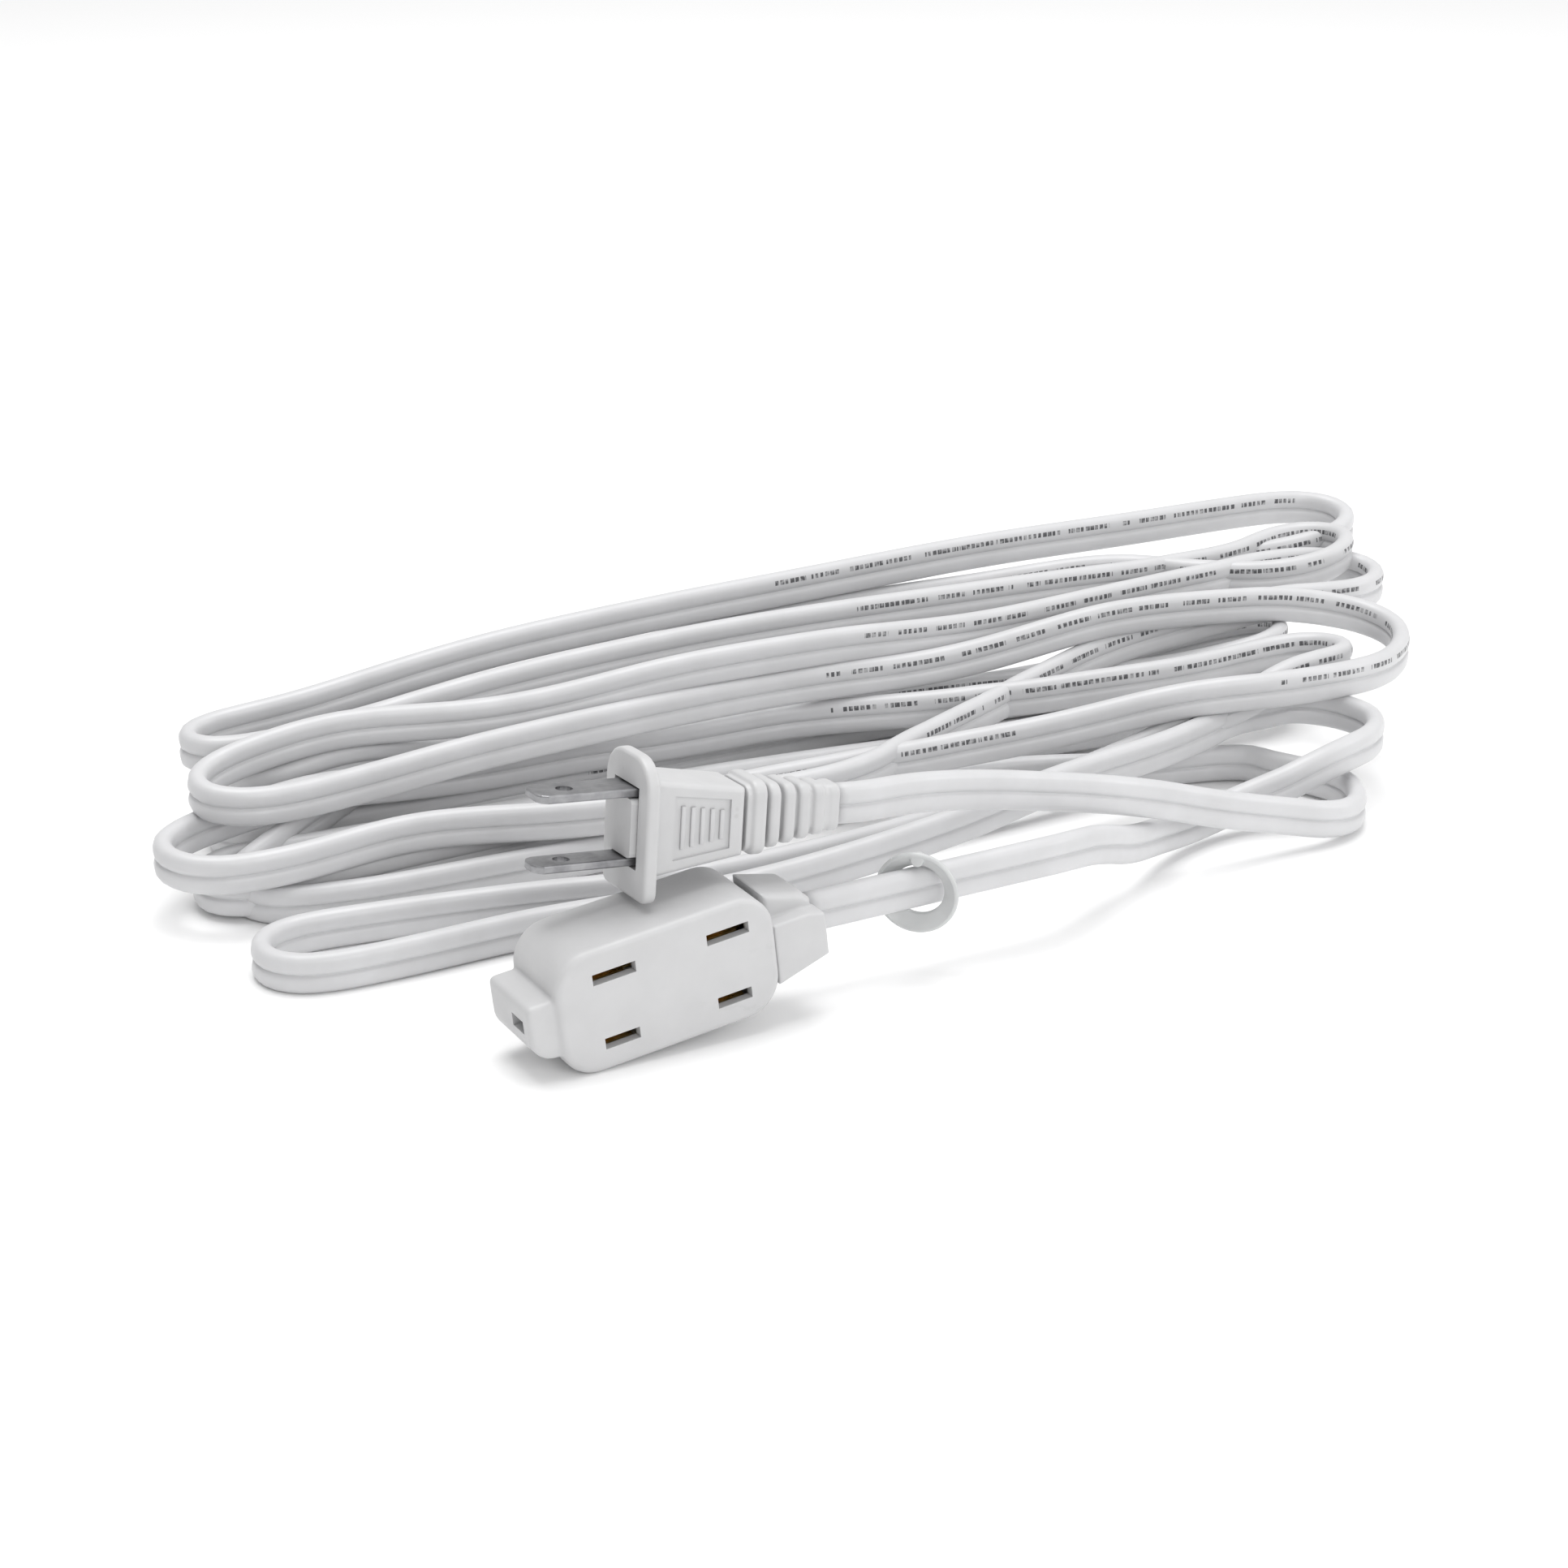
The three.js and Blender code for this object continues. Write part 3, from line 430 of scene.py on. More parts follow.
cord = {
    "length": 4.57, "wide": 7.6, "thick": 3.8, "step": 3.0, "meshStep": 2.2, "leadEnd": 4, "smoothings": 3,
    # a quarter of the section, from the groove to the top: (sideways, up)
    "quarter": [(1.22, 0.08), (1.5, 0.24), (1.78, 0.62), (1.9, 1.25), (1.88, 2.1), (1.74, 2.75), (1.42, 3.3),
                (0.9, 3.68), (0.3, 3.8)],
    # where the strands carry dashes, from left to right, and how far their starts are staggered
    "printFrom": 95, "printTo": 228, "printShift": 7, "unprinted": (0, 15),
    "printAlso": {6: (50, 112), 8: (40, 90)},
}
tapLeadRun = [
    (29.4909, 0, 16.9038), (47.4909, 0, 16.9038), (65.4909, 0, 16.9038), (83.4909, 0, 16.9038),
    (95.5, 4.5, 14.6), (107.5, 10, 10.2), (119.5, 17, 6.9), (132.5, 22, 5.2), (143.5, 23.5, 6.4),
    (154.5, 22, 9.2), (163.5, 21.5, 11.8), (171.5, 22.8, 12.7), (179.5, 26, 12.8), (184.5, 32, 12.9),
    (184, 39, 13.2), (178.7, 46.25, 13.6),
]
plugLeadRun = [
    (38.447, 5.398, 34.279), (45.704, 5.187, 33.515), (53, 6.4, 32.7), (63.5, 7.6, 31), (75, 9, 28.4),
    (87, 10.4, 25.2), (100.6, 12, 21.4), (114.4, 12.4, 17.4), (129.7, 12, 12.4), (145, 11, 8.2),
    (156.7, 10, 5.4), (164, 12, 4.4), (169.5, 18, 4.2), (171.5, 25, 4.2), (169.5, 32, 4.2), (166, 38.5, 4.2),
    (161.6, 46.4, 4.2),
]
# Each row is one strand of the hank with the bend at its end, in the order that the cord runs.
hankRuns = [
    [(170, 49, 14), (160, 48.5, 14.3), (139, 42, 14.3), (108, 39, 13), (88, 36, 11), (60, 36, 8),
     (27, 40, 4.5), (-4, 44, 4), (-30, 44, 4), (-45, 45, 4), (-51.4, 47.6, 4), (-54, 54, 4), (-51.4, 60.4, 4),
     (-45, 63, 4.5)],
    [(-30, 61.5, 4), (-1, 56, 4), (30, 48, 4), (57, 47, 4), (96, 49, 6), (137, 50, 10), (165, 47.5, 16),
     (186, 48.5, 18), (192.4, 51.1, 18), (195, 57.5, 17.5), (192.4, 63.9, 17.5), (186, 66.5, 17.5)],
    [(149, 70, 18), (117, 82, 15), (78, 100, 12), (37, 105, 11), (14, 104, 11), (-14, 101, 12),
     (-39, 100, 13), (-53, 97, 14), (-60.5, 89, 14), (-56, 79.5, 13)],
    [(-39, 76.5, 12), (-15, 77, 12), (23, 69, 13), (70, 60, 14), (92, 68, 14), (113, 76, 14.5), (142, 83, 15),
     (165, 84, 17), (190, 81, 20), (208, 77.5, 22), (219, 78, 23), (226.5, 83.5, 24), (226.5, 90, 25),
     (219, 95.5, 26)],
    [(208, 96.5, 27), (167, 95, 27), (126, 95, 26), (67, 97, 25), (14, 102, 24), (-11, 105, 23),
     (-34, 106.5, 22), (-43, 105, 21.5), (-49, 100.5, 21), (-49, 94.5, 20.5), (-43, 90, 20)],
    [(-34, 89.5, 20), (-15, 92, 20), (11, 94, 21), (79, 96, 21), (122, 89, 21), (155, 83, 21), (198, 75, 20),
     (210, 68, 20), (212, 59, 20), (205, 49, 19), (192, 42, 19)],
    [(164, 42, 18), (135, 53, 17), (102, 63, 14), (61, 69, 12), (28, 75, 9), (-15, 78.5, 7), (-36, 79.5, 6),
     (-46, 81, 6), (-52, 86, 6), (-52, 92, 6), (-46, 97.5, 6)],
    [(-36, 99, 5), (-17, 98, 4), (8, 95, 4), (58, 92, 4), (110, 84, 4), (150, 74, 6), (172, 66, 10),
     (186, 65, 12), (194, 74, 12), (187, 86, 11)],
    [(165, 96, 6), (120, 104, 4), (60, 106, 4), (10, 106.5, 4), (-18, 106.5, 4), (-31, 106.5, 4),
     (-37.4, 109.1, 4), (-40, 115.5, 4.5), (-37.4, 121.9, 5), (-31, 124.5, 5)],
    [(0, 122, 4), (60, 117, 4), (120, 113, 4), (165, 106, 6), (189, 96, 12), (197, 83, 15), (189, 72, 17)],
    [(165, 80, 14), (120, 98, 11.5), (60, 104, 11.5), (10, 106.5, 12), (-18, 106.5, 13), (-29, 106.5, 13.5),
     (-35.4, 109.1, 14), (-38, 115.5, 14.5), (-35.4, 121.9, 15.5), (-29, 124.5, 16)],
    [(0, 123.5, 17), (60, 122.5, 24), (120, 121.5, 25.5), (170, 111, 25.5), (192, 97, 25), (206, 89, 25.5),
     (217, 88, 26.5), (224.5, 92, 27.5), (227, 97.5, 28), (224, 103, 28), (216, 106, 27.5)],
    [(193, 104.5, 27), (139, 105, 29), (70, 108, 30), (18, 111, 27), (-14, 111.5, 23), (-34, 111, 20),
     (-41, 113, 19.5), (-44, 118.5, 19.5), (-41, 124, 20), (-34, 126, 21.5)],
    [(-16, 124.5, 25), (21, 122.5, 30.5), (61, 122, 32.5), (95, 122, 33), (143, 122, 33.5), (183, 120.5, 33),
     (213, 120, 32.5), (226, 119.5, 32), (234, 116, 31.5), (237.5, 110.5, 30.5), (234.5, 104.5, 29.5),
     (227, 101.5, 28.5)],
    [(217, 104, 27), (177, 112, 22), (144, 120, 16), (118, 124, 11), (81, 125, 7), (25, 122, 10),
     (-5, 112, 9), (-24, 103, 6), (-40, 96, 4), (-47, 88, 4), (-44, 79, 4)],
    [(-27, 73, 4), (-2, 71, 4), (51, 68, 4), (112, 66, 4), (141, 54, 4)],
]


def smoothRoute(points, step):  # centripetal spline through the points, at even steps
    points = np.asarray(points, float)
    padded = np.vstack([2 * points[0] - points[1], points, 2 * points[-1] - points[-2]])
    fine = []
    for index in range(len(points) - 1):
        p = padded[index:index + 4]
        knots = np.r_[0, np.cumsum(np.linalg.norm(np.diff(p, axis=0), axis=1) ** 0.5)]
        for t in np.linspace(knots[1], knots[2], 24, endpoint=False):
            a = [((knots[k + 1] - t) * p[k] + (t - knots[k]) * p[k + 1]) / (knots[k + 1] - knots[k])
                 for k in range(3)]
            b = [((knots[k + 2] - t) * a[k] + (t - knots[k]) * a[k + 1]) / (knots[k + 2] - knots[k])
                 for k in range(2)]
            fine.append(((knots[2] - t) * b[0] + (t - knots[1]) * b[1]) / (knots[2] - knots[1]))
    fine = np.array(fine + [points[-1]])
    along = np.r_[0, np.cumsum(np.linalg.norm(np.diff(fine, axis=0), axis=1))]
    places = np.linspace(0, along[-1], int(round(along[-1] / step)) + 1)
    return np.stack([np.interp(places, along, fine[:, k]) for k in range(3)], -1), along[-1]


settling = {
    "rounds": 420, "fall": 0.02, "mostFall": 1.2, "calmAfter": 0.8, "calmFall": 0.3,
    "clear": 3.9,  # side by side, the strands keep this far apart
    "searchEvery": 10, "near": 9, "skip": 7,  # neighbours along the cord are not held apart
    "stacked": 2.6,  # strands that start this far apart in height lie one on the other
    "straighten": 0.45, "hold": 0.12, "push": 0.9, "liftReach": 19, "liftShare": 4,
}


def settleCord(start, isFree):  # lets the strands down onto each other and the floor, and keeps them apart
    points = start.copy()
    count = len(points)
    bend = np.zeros_like(points)
    bend[1:-1] = (points[:-2] + points[2:]) / 2 - points[1:-1]
    lengths = np.linalg.norm(np.diff(points, axis=0), axis=1)
    order = np.arange(count)
    clear, thick, straighten = settling["clear"], cord["thick"], settling["straighten"]
    lowest = np.maximum(cord["wide"] / 2, start[:, 2] - settling["mostFall"])
    stiffKernel = np.bartlett(settling["liftReach"])[1:-1] / settling["liftShare"]
    for step in range(settling["rounds"]):
        if step % settling["searchEvery"] == 0:
            gap = np.hypot(points[:, None, 0] - points[None, :, 0], points[:, None, 1] - points[None, :, 1])
            isLater = order[:, None] + settling["skip"] < order[None, :]
            one, two = np.where((gap < settling["near"]) & isLater)
            above = start[one, 2] - start[two, 2]
            stacked = np.abs(above) > settling["stacked"]
        isEarly = step < settling["calmAfter"] * settling["rounds"]
        points[isFree, 2] -= settling["fall"] * (1 if isEarly else settling["calmFall"])
        curve = (points[:-2] + points[2:]) / 2 - points[1:-1]
        inner = isFree[1:-1]
        points[1:-1][inner, :2] += straighten * (curve - bend[1:-1])[inner, :2]
        points[1:-1][inner, 2] += straighten * curve[inner, 2]
        points[isFree, :2] += settling["hold"] * (start[:, :2] - points[:, :2])[isFree]
        apart = points[one] - points[two]
        level = np.hypot(apart[:, 0], apart[:, 1]) + 1e-6
        rise = apart[:, 2]
        push = np.zeros_like(points)
        touches = np.zeros(count)
        # Strands that lie one on the other are pushed up and down.
        side = np.sign(above)
        needed = thick + np.sqrt(np.maximum(0, clear ** 2 - level ** 2))
        hit = stacked & (level < clear) & (side * rise < needed)
        lift = (side * (needed - side * rise) / 2)[hit]
        for ends, way in ((one[hit], 1), (two[hit], -1)):
            np.add.at(push[:, 2], ends, way * lift)
            np.add.at(touches, ends, 1)
        # Strands side by side are pushed sideways.
        over = np.maximum(0, np.abs(rise) - thick)
        room = np.sqrt(np.maximum(0, clear ** 2 - over ** 2))
        hit = ~stacked & (level < room)
        shove = (apart[:, :2] / level[:, None] * ((room - level) / 2)[:, None])[hit]
        for ends, way in ((one[hit], 1), (two[hit], -1)):
            np.add.at(push, (ends, slice(0, 2)), way * shove)
            np.add.at(touches, ends, 1)
        push /= np.maximum(touches, 1)[:, None]
        spread = np.convolve(push[:, 2], stiffKernel, "same")  # a stiff cord lifts over a long stretch
        push[:, 2] = np.where(np.abs(spread) > np.abs(push[:, 2]), spread, push[:, 2])
        points[isFree] += settling["push"] * push[isFree]
        points[isFree, 2] = np.maximum(points[isFree, 2], lowest[isFree])
        for first in (0, 1):  # hold each short length of cord at its length
            a = np.arange(first, count - 1, 2)
            b = a + 1
            reach = points[b] - points[a]
            size = np.linalg.norm(reach, axis=1)
            move = reach * ((size - lengths[a]) / size / 2)[:, None]
            points[a] += move * isFree[a][:, None]
            points[b] -= move * isFree[b][:, None]
    return points


def cordOutline():  # two lobes with a groove between them: (sideways, up) in millimetres
    quarter = cord["quarter"]
    upper = quarter + [(-x, z) for x, z in quarter[::-1]]
    return upper + [(-x, -z) for x, z in upper]


def printedPlaces(route):  # 1 where a strand carries dashes
    starts = [np.argmin(np.linalg.norm(route - row[0], axis=1)) for row in hankRuns] + [len(route)]
    printed = np.zeros(len(route))
    for row, (first, last) in enumerate(zip(starts, starts[1:])):
        if row in cord["unprinted"]:
            continue
        low, high = cord["printAlso"].get(row, (cord["printFrom"], cord["printTo"]))
        low += cord["printShift"] * math.sin(row * 2.3)
        across = route[first:last, 0]
        printed[first:last] = (across > low) & (across < high)
    return printed


def tubeFaces(rings, size):  # rings of equal count joined up, closed at both ends
    faces = []
    for ring in range(rings - 1):
        for corner in range(size):
            a, b = ring * size + corner, ring * size + (corner + 1) % size
            faces.append((a, b, b + size, a + size))
    last = (rings - 1) * size
    return faces + [tuple(range(size - 1, -1, -1)), tuple(range(last, last + size))]


def turnOutward(made):
    shape = bmesh.new()
    shape.from_mesh(made.data)
    bmesh.ops.recalc_face_normals(shape, faces=shape.faces)
    shape.to_mesh(made.data)
    shape.free()


def makeCord():
    points = tapLeadRun + [point for run in hankRuns for point in run] + plugLeadRun[::-1]
    route, length = smoothRoute(points, cord["step"])
    along = np.linspace(0, length, len(route))
    tapLead, plugLead = [smoothRoute(run, cord["step"])[1] for run in (tapLeadRun, plugLeadRun)]
    isFree = (along > tapLead + cord["leadEnd"]) & (along < length - plugLead - cord["leadEnd"])
    printed = printedPlaces(route)
    route = settleCord(route, isFree)
    inner = isFree[1:-1]
    for _ in range(cord["smoothings"]):
        route[1:-1][inner] = (0.25 * route[:-2] + 0.5 * route[1:-1] + 0.25 * route[2:])[inner]
    everySecond = route[::2]
    if len(route) % 2 == 0:
        everySecond = np.vstack([everySecond, route[-1:]])
    route, length = smoothRoute(everySecond, cord["meshStep"])
    tangent = np.gradient(route, axis=0)
    tangent /= np.linalg.norm(tangent, axis=1)[:, None]
    up = np.array([0, 0, 1.0]) - tangent * tangent[:, 2:3]
    up /= np.linalg.norm(up, axis=1)[:, None]
    side = np.cross(up, tangent)
    outline = cordOutline()
    size = len(outline)
    verts = np.stack([route + side * x + up * z for x, z in outline], 1).reshape(-1, 3) * millimetre
    mesh = bpy.data.meshes.new("flat_cord")
    mesh.from_pydata(verts.tolist(), [], tubeFaces(len(route), size))
    run = np.linspace(0, length, len(route))
    printed = np.interp(run / length, np.linspace(0, 1, len(printed)), printed)
    heights = np.tile([z * millimetre for x, z in outline], len(route))
    for name, values in (("cordRun", np.repeat(run, size) * millimetre),
                         ("cordPrint", np.repeat(printed, size)), ("cordHeight", heights)):
        mesh.attributes.new(name, "FLOAT", "POINT").data.foreach_set("value", values)
    mesh.polygons.foreach_set("use_smooth", [True] * len(mesh.polygons))
    mesh.materials.append(cordVinyl)
    made = addToScene("flat_cord", mesh)
    turnOutward(made)
    print("cord length", round(length), "mm")
    return made, route * millimetre


flatCord, cordPath = makeCord()
print("cord laid")


# The solids below are made in millimetres, and put in their places as each piece is finished.
def roundedLoop(u0, u1, v0, v1, radii, steps=10):
    corners = [(u0, v0, 1, 1), (u1, v0, -1, 1), (u1, v1, -1, -1), (u0, v1, 1, -1)]
    loop = []
    for index, ((u, v, du, dv), radius) in enumerate(zip(corners, radii)):
        for step in range(steps + 1):
            angle = math.pi + (index + step / steps) * math.pi / 2
            loop.append((u + radius * (du + math.cos(angle)), v + radius * (dv + math.sin(angle))))
    return loop


def shrunk(loop, amount):  # the loop moved inwards by an amount, corner by corner
    points = np.array(loop)
    before = points - np.roll(points, 1, axis=0)
    after = np.roll(points, -1, axis=0) - points
    normals = []
    for first, second in zip(before, after):
        total = np.zeros(2)
        for edge in (first, second):
            size = np.linalg.norm(edge)
            if size > 1e-9:
                total += np.array([-edge[1], edge[0]]) / size
        normals.append(total / max(np.linalg.norm(total), 1e-9))
    return (points + amount * np.array(normals)).tolist()


def loftSolid(loops):  # loops of (x, y, z) of equal count
    verts = [point for loop in loops for point in loop]
    return verts, tubeFaces(len(loops), len(loops[0]))


# A plate with rounded edges: place turns (u, v, depth) to x, y, z.
def roundedPlate(loop, low, high, edge, place, steps=4):
    loops = []
    for end, way in ((low, 1), (high, -1)):
        for step in range(steps + 1)[::way]:
            angle = math.pi / 2 * step / steps
            ring = shrunk(loop, edge * (1 - math.sin(angle)))
            loops.append([place(u, v, end + way * edge * (1 - math.cos(angle))) for u, v in ring])
    return loftSolid(loops)


def alongY(u, v, d):
    return (u, d, v)


def alongX(u, v, d):
    return (d, u, v)


def box(x0, x1, y0, y1, z0, z1):
    return roundedPlate([(x0, z0), (x1, z0), (x1, z1), (x0, z1)], y0, y1, 0.0, alongY, 1)


def slab(x0, x1, middleY, halfY, halfZ, corner, edge=0.0):
    corner = min(corner, halfY * 0.9, halfZ * 0.9)
    loop = roundedLoop(middleY - halfY, middleY + halfY, -halfZ, halfZ, [corner] * 4, 6)
    return roundedPlate(loop, x0, x1, edge, alongX)


wirePassage = {"halfY": 1.05, "halfZ": 3.05, "corner": 0.9}  # the two conductors run through it


def passage(x0, x1, middleY=0):
    return slab(x0, x1, middleY, wirePassage["halfY"], wirePassage["halfZ"], wirePassage["corner"])


def meshOf(name, solids):
    shape = bmesh.new()
    for verts, faces in solids:
        made = [shape.verts.new(vert) for vert in verts]
        for face in faces:
            shape.faces.new([made[index] for index in face])
    bmesh.ops.remove_doubles(shape, verts=shape.verts, dist=1e-5)
    bmesh.ops.recalc_face_normals(shape, faces=shape.faces)
    mesh = bpy.data.meshes.new(name)
    shape.to_mesh(mesh)
    shape.free()
    return mesh


def evaluated(made):  # the object's mesh with its modifiers applied
    graph = bpy.context.evaluated_depsgraph_get()
    graph.update()
    mesh = bpy.data.meshes.new_from_object(made.evaluated_get(graph))
    made.modifiers.clear()
    made.data = mesh
    return made


def finishPiece(made, place, sharpFrom, material):
    made.data.transform(place)
    made.data.polygons.foreach_set("use_smooth", [True] * len(made.data.polygons))
    made.data.set_sharp_from_angle(angle=math.radians(sharpFrom))
    made.data.materials.clear()
    made.data.materials.append(material)
    made.data.name = made.name


moulding = {"softness": 0.5, "sharpFrom": 38}


def mouldedPiece(name, solids, cuts, voxel, softenings, place, material, body, replaced):
    made = addToScene(name, meshOf(name, solids))
    joined = made.modifiers.new("joined", "REMESH")
    joined.mode = "VOXEL"
    joined.voxel_size = voxel
    soften = made.modifiers.new("soften", "SMOOTH")
    soften.factor = moulding["softness"]
    soften.iterations = softenings
    evaluated(made)
    for index, cut in enumerate(cuts):
        cutName = f"{name}_cut_{index}"
        tool = addToScene(cutName, meshOf(cutName, [cut]))
        carve = made.modifiers.new("cut", "BOOLEAN")
        carve.operation = "DIFFERENCE"
        carve.solver = "MANIFOLD"
        carve.object = tool
        evaluated(made)
        bpy.data.objects.remove(tool)
    finishPiece(made, place, moulding["sharpFrom"], material)
    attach(made, body)
    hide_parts(*replaced)
    print(name, "made with", len(made.data.polygons), "faces")
    return made


cutPast = 1  # cuts start and end this far outside a solid
tap = {
    "depth": 18, "left": -11.4, "right": 31.6, "half": 11.7, "corner": 7, "edge": 1.3, "wall": 1.8,
    "innerEdge": 0.3, "voxel": 0.3, "softenings": 3,
    "outlets": (0, 22.2), "pole": 12.7, "slotHigh": 2.1, "slotWide": {1: 8.3, -1: 6.75}, "slotInto": 0.3,
    "noseLong": 5.1, "noseLow": -6.5, "noseHigh": 4.5, "noseCorners": (4.6, 1, 1, 1.2), "noseEdge": 0.8,
    "noseInset": 1, "noseRoot": 5, "noseHole": (3.55, 8.05, -1.25, 1.25),
    "tailHole": (3.7, 4.9, 1.5), "endInto": 0.4,  # the holes at both ends run this far past the wall
}


def makeTapShell():
    left, right, half, depth, wall = tap["left"], tap["right"], tap["half"], tap["depth"], tap["wall"]
    body = roundedPlate(roundedLoop(left, right, -half, half, [tap["corner"]] * 4), 0, depth, tap["edge"], alongY)
    nose = roundedLoop(left - tap["noseLong"], left + tap["noseRoot"], tap["noseLow"], tap["noseHigh"],
                       tap["noseCorners"])
    nose = roundedPlate(nose, tap["noseInset"], depth - tap["noseInset"], tap["noseEdge"], alongY)
    inner = roundedLoop(left + wall, right - wall, wall - half, half - wall, [tap["corner"] - wall] * 4)
    cuts = [roundedPlate(inner, wall, depth - wall, tap["innerEdge"], alongY)]
    middle = sum(tap["outlets"]) / 2
    for side, wide in tap["slotWide"].items():
        low = side * tap["pole"] / 2 - tap["slotHigh"] / 2
        high = low + tap["slotHigh"]
        for x in tap["outlets"]:
            cuts.append(box(x - wide / 2, x + wide / 2, -cutPast, wall + tap["slotInto"], low, high))
        back = depth - wall - tap["slotInto"]
        cuts.append(box(middle - wide / 2, middle + wide / 2, back, depth + cutPast, low, high))
    cuts.append(box(left - tap["noseLong"] - cutPast, left + wall + tap["endInto"], *tap["noseHole"]))
    cuts.append(slab(right - wall - tap["endInto"], right + cutPast, depth / 2, *tap["tailHole"]))
    mouldedPiece("tap_body", [body, nose], cuts, tap["voxel"], tap["softenings"], tapPlace, whiteVinyl,
                 "cord_set", ["tap_shell"])


tapTail = {
    "start": 31.62, "end": 41.5, "voxel": 0.22, "softenings": 3,
    "barrelFront": 4.2, "barrelInset": 2, "barrelEdge": 1.6, "webFront": 0.8, "webBack": 6, "webEdge": 0.5,
    # the lip behind the tap's end wall and the neck through it: half depth, half height, corner, edge
    "gap": 0.3, "lipThick": 1, "lip": (4.6, 5.8, 1, 0.2), "neck": (3.4, 4.6, 1.2), "neckInto": (0.2, 0.5),
}


def makeTapTail():
    start, end, middle = tapTail["start"], tapTail["end"], tap["depth"] / 2
    # both outlines go round from the lower corner at the tap: (along the tap, height)
    barrel = [(start, -7.8), (end - 1.6, -5.6), (end, -4.8), (end, 4.8), (end - 1.6, 6.4), (start, 9)]
    web = [(start, -7.6), (end + 0.6, -4.9), (end + 0.6, 3.2), (end - 2.6, 4.1), (start, 4.1)]
    lipX = tap["right"] - tap["wall"] - tapTail["gap"]
    barrelBack = tap["depth"] - tapTail["barrelInset"]
    before, after = tapTail["neckInto"]
    solids = [
        roundedPlate(barrel, tapTail["barrelFront"], barrelBack, tapTail["barrelEdge"], alongY),
        roundedPlate(web, tapTail["webFront"], tapTail["webBack"], tapTail["webEdge"], alongY),
        slab(lipX - tapTail["lipThick"], lipX, middle, *tapTail["lip"]),
        slab(lipX - before, start + after, middle, *tapTail["neck"]),
    ]
    bore = passage(lipX - 2 * cutPast, end + 2 * cutPast, middle)
    mouldedPiece("tap_tail", solids, [bore], tapTail["voxel"], tapTail["softenings"], tapPlace, whiteVinyl,
                 "cord_set", ["tap_strain_relief"])


makeTapShell()
makeTapTail()
print("tap made")


def repeatTree():  # copies the mesh along X, each one narrower and lower than the one before
    tree = bpy.data.node_groups.new("ribRow", "GeometryNodeTree")
    tree.interface.new_socket("Geometry", in_out="INPUT", socket_type="NodeSocketGeometry")
    for name, kind in (("Count", "NodeSocketInt"), ("Pitch", "NodeSocketFloat"), ("Narrowing Y", "NodeSocketFloat"),
                       ("Narrowing Z", "NodeSocketFloat"), ("Finish", "NodeSocketMaterial")):
        tree.interface.new_socket(name, in_out="INPUT", socket_type=kind)
    tree.interface.new_socket("Geometry", in_out="OUTPUT", socket_type="NodeSocketGeometry")
    source = tree.nodes.new("NodeGroupInput")
    sink = tree.nodes.new("NodeGroupOutput")
    offset = tree.nodes.new("ShaderNodeCombineXYZ")
    line = tree.nodes.new("GeometryNodeMeshLine")
    line.mode = "OFFSET"
    link(tree, source.outputs["Pitch"], offset.inputs["X"])
    link(tree, source.outputs["Count"], line.inputs["Count"])
    link(tree, offset.outputs["Vector"], line.inputs["Offset"])
    index = tree.nodes.new("GeometryNodeInputIndex")
    scale = tree.nodes.new("ShaderNodeCombineXYZ")
    scale.inputs["X"].default_value = 1.0
    for axis in ("Y", "Z"):
        shrink = mathNode(tree, "MULTIPLY", index.outputs["Index"], source.outputs[f"Narrowing {axis}"])
        link(tree, mathNode(tree, "SUBTRACT", 1.0, shrink), scale.inputs[axis])
    copies = tree.nodes.new("GeometryNodeInstanceOnPoints")
    link(tree, line.outputs["Mesh"], copies.inputs["Points"])
    link(tree, source.outputs["Geometry"], copies.inputs["Instance"])
    link(tree, scale.outputs["Vector"], copies.inputs["Scale"])
    real = tree.nodes.new("GeometryNodeRealizeInstances")
    finish = tree.nodes.new("GeometryNodeSetMaterial")
    link(tree, copies.outputs["Instances"], real.inputs["Geometry"])
    link(tree, real.outputs["Geometry"], finish.inputs["Geometry"])
    link(tree, source.outputs["Finish"], finish.inputs["Material"])
    link(tree, finish.outputs["Geometry"], sink.inputs["Geometry"])
    return tree


ribRow = repeatTree()


def repeated(solid, start, count, pitch, narrowY, narrowZ):  # a row of one solid, which is made at x = 0
    made = addToScene("row", meshOf("row", [solid]))
    rows = made.modifiers.new("row", "NODES")
    rows.node_group = ribRow
    names = {item.name: item.identifier for item in ribRow.interface.items_tree if item.in_out == "INPUT"}
    for name, value in (("Count", count), ("Pitch", pitch), ("Narrowing Y", narrowY), ("Narrowing Z", narrowZ),
                        ("Finish", whiteVinyl)):
        rows[names[name]] = value
    evaluated(made)
    verts = [(vert.co.x + start, vert.co.y, vert.co.z) for vert in made.data.vertices]
    faces = [tuple(face.vertices) for face in made.data.polygons]
    bpy.data.objects.remove(made)
    return verts, faces


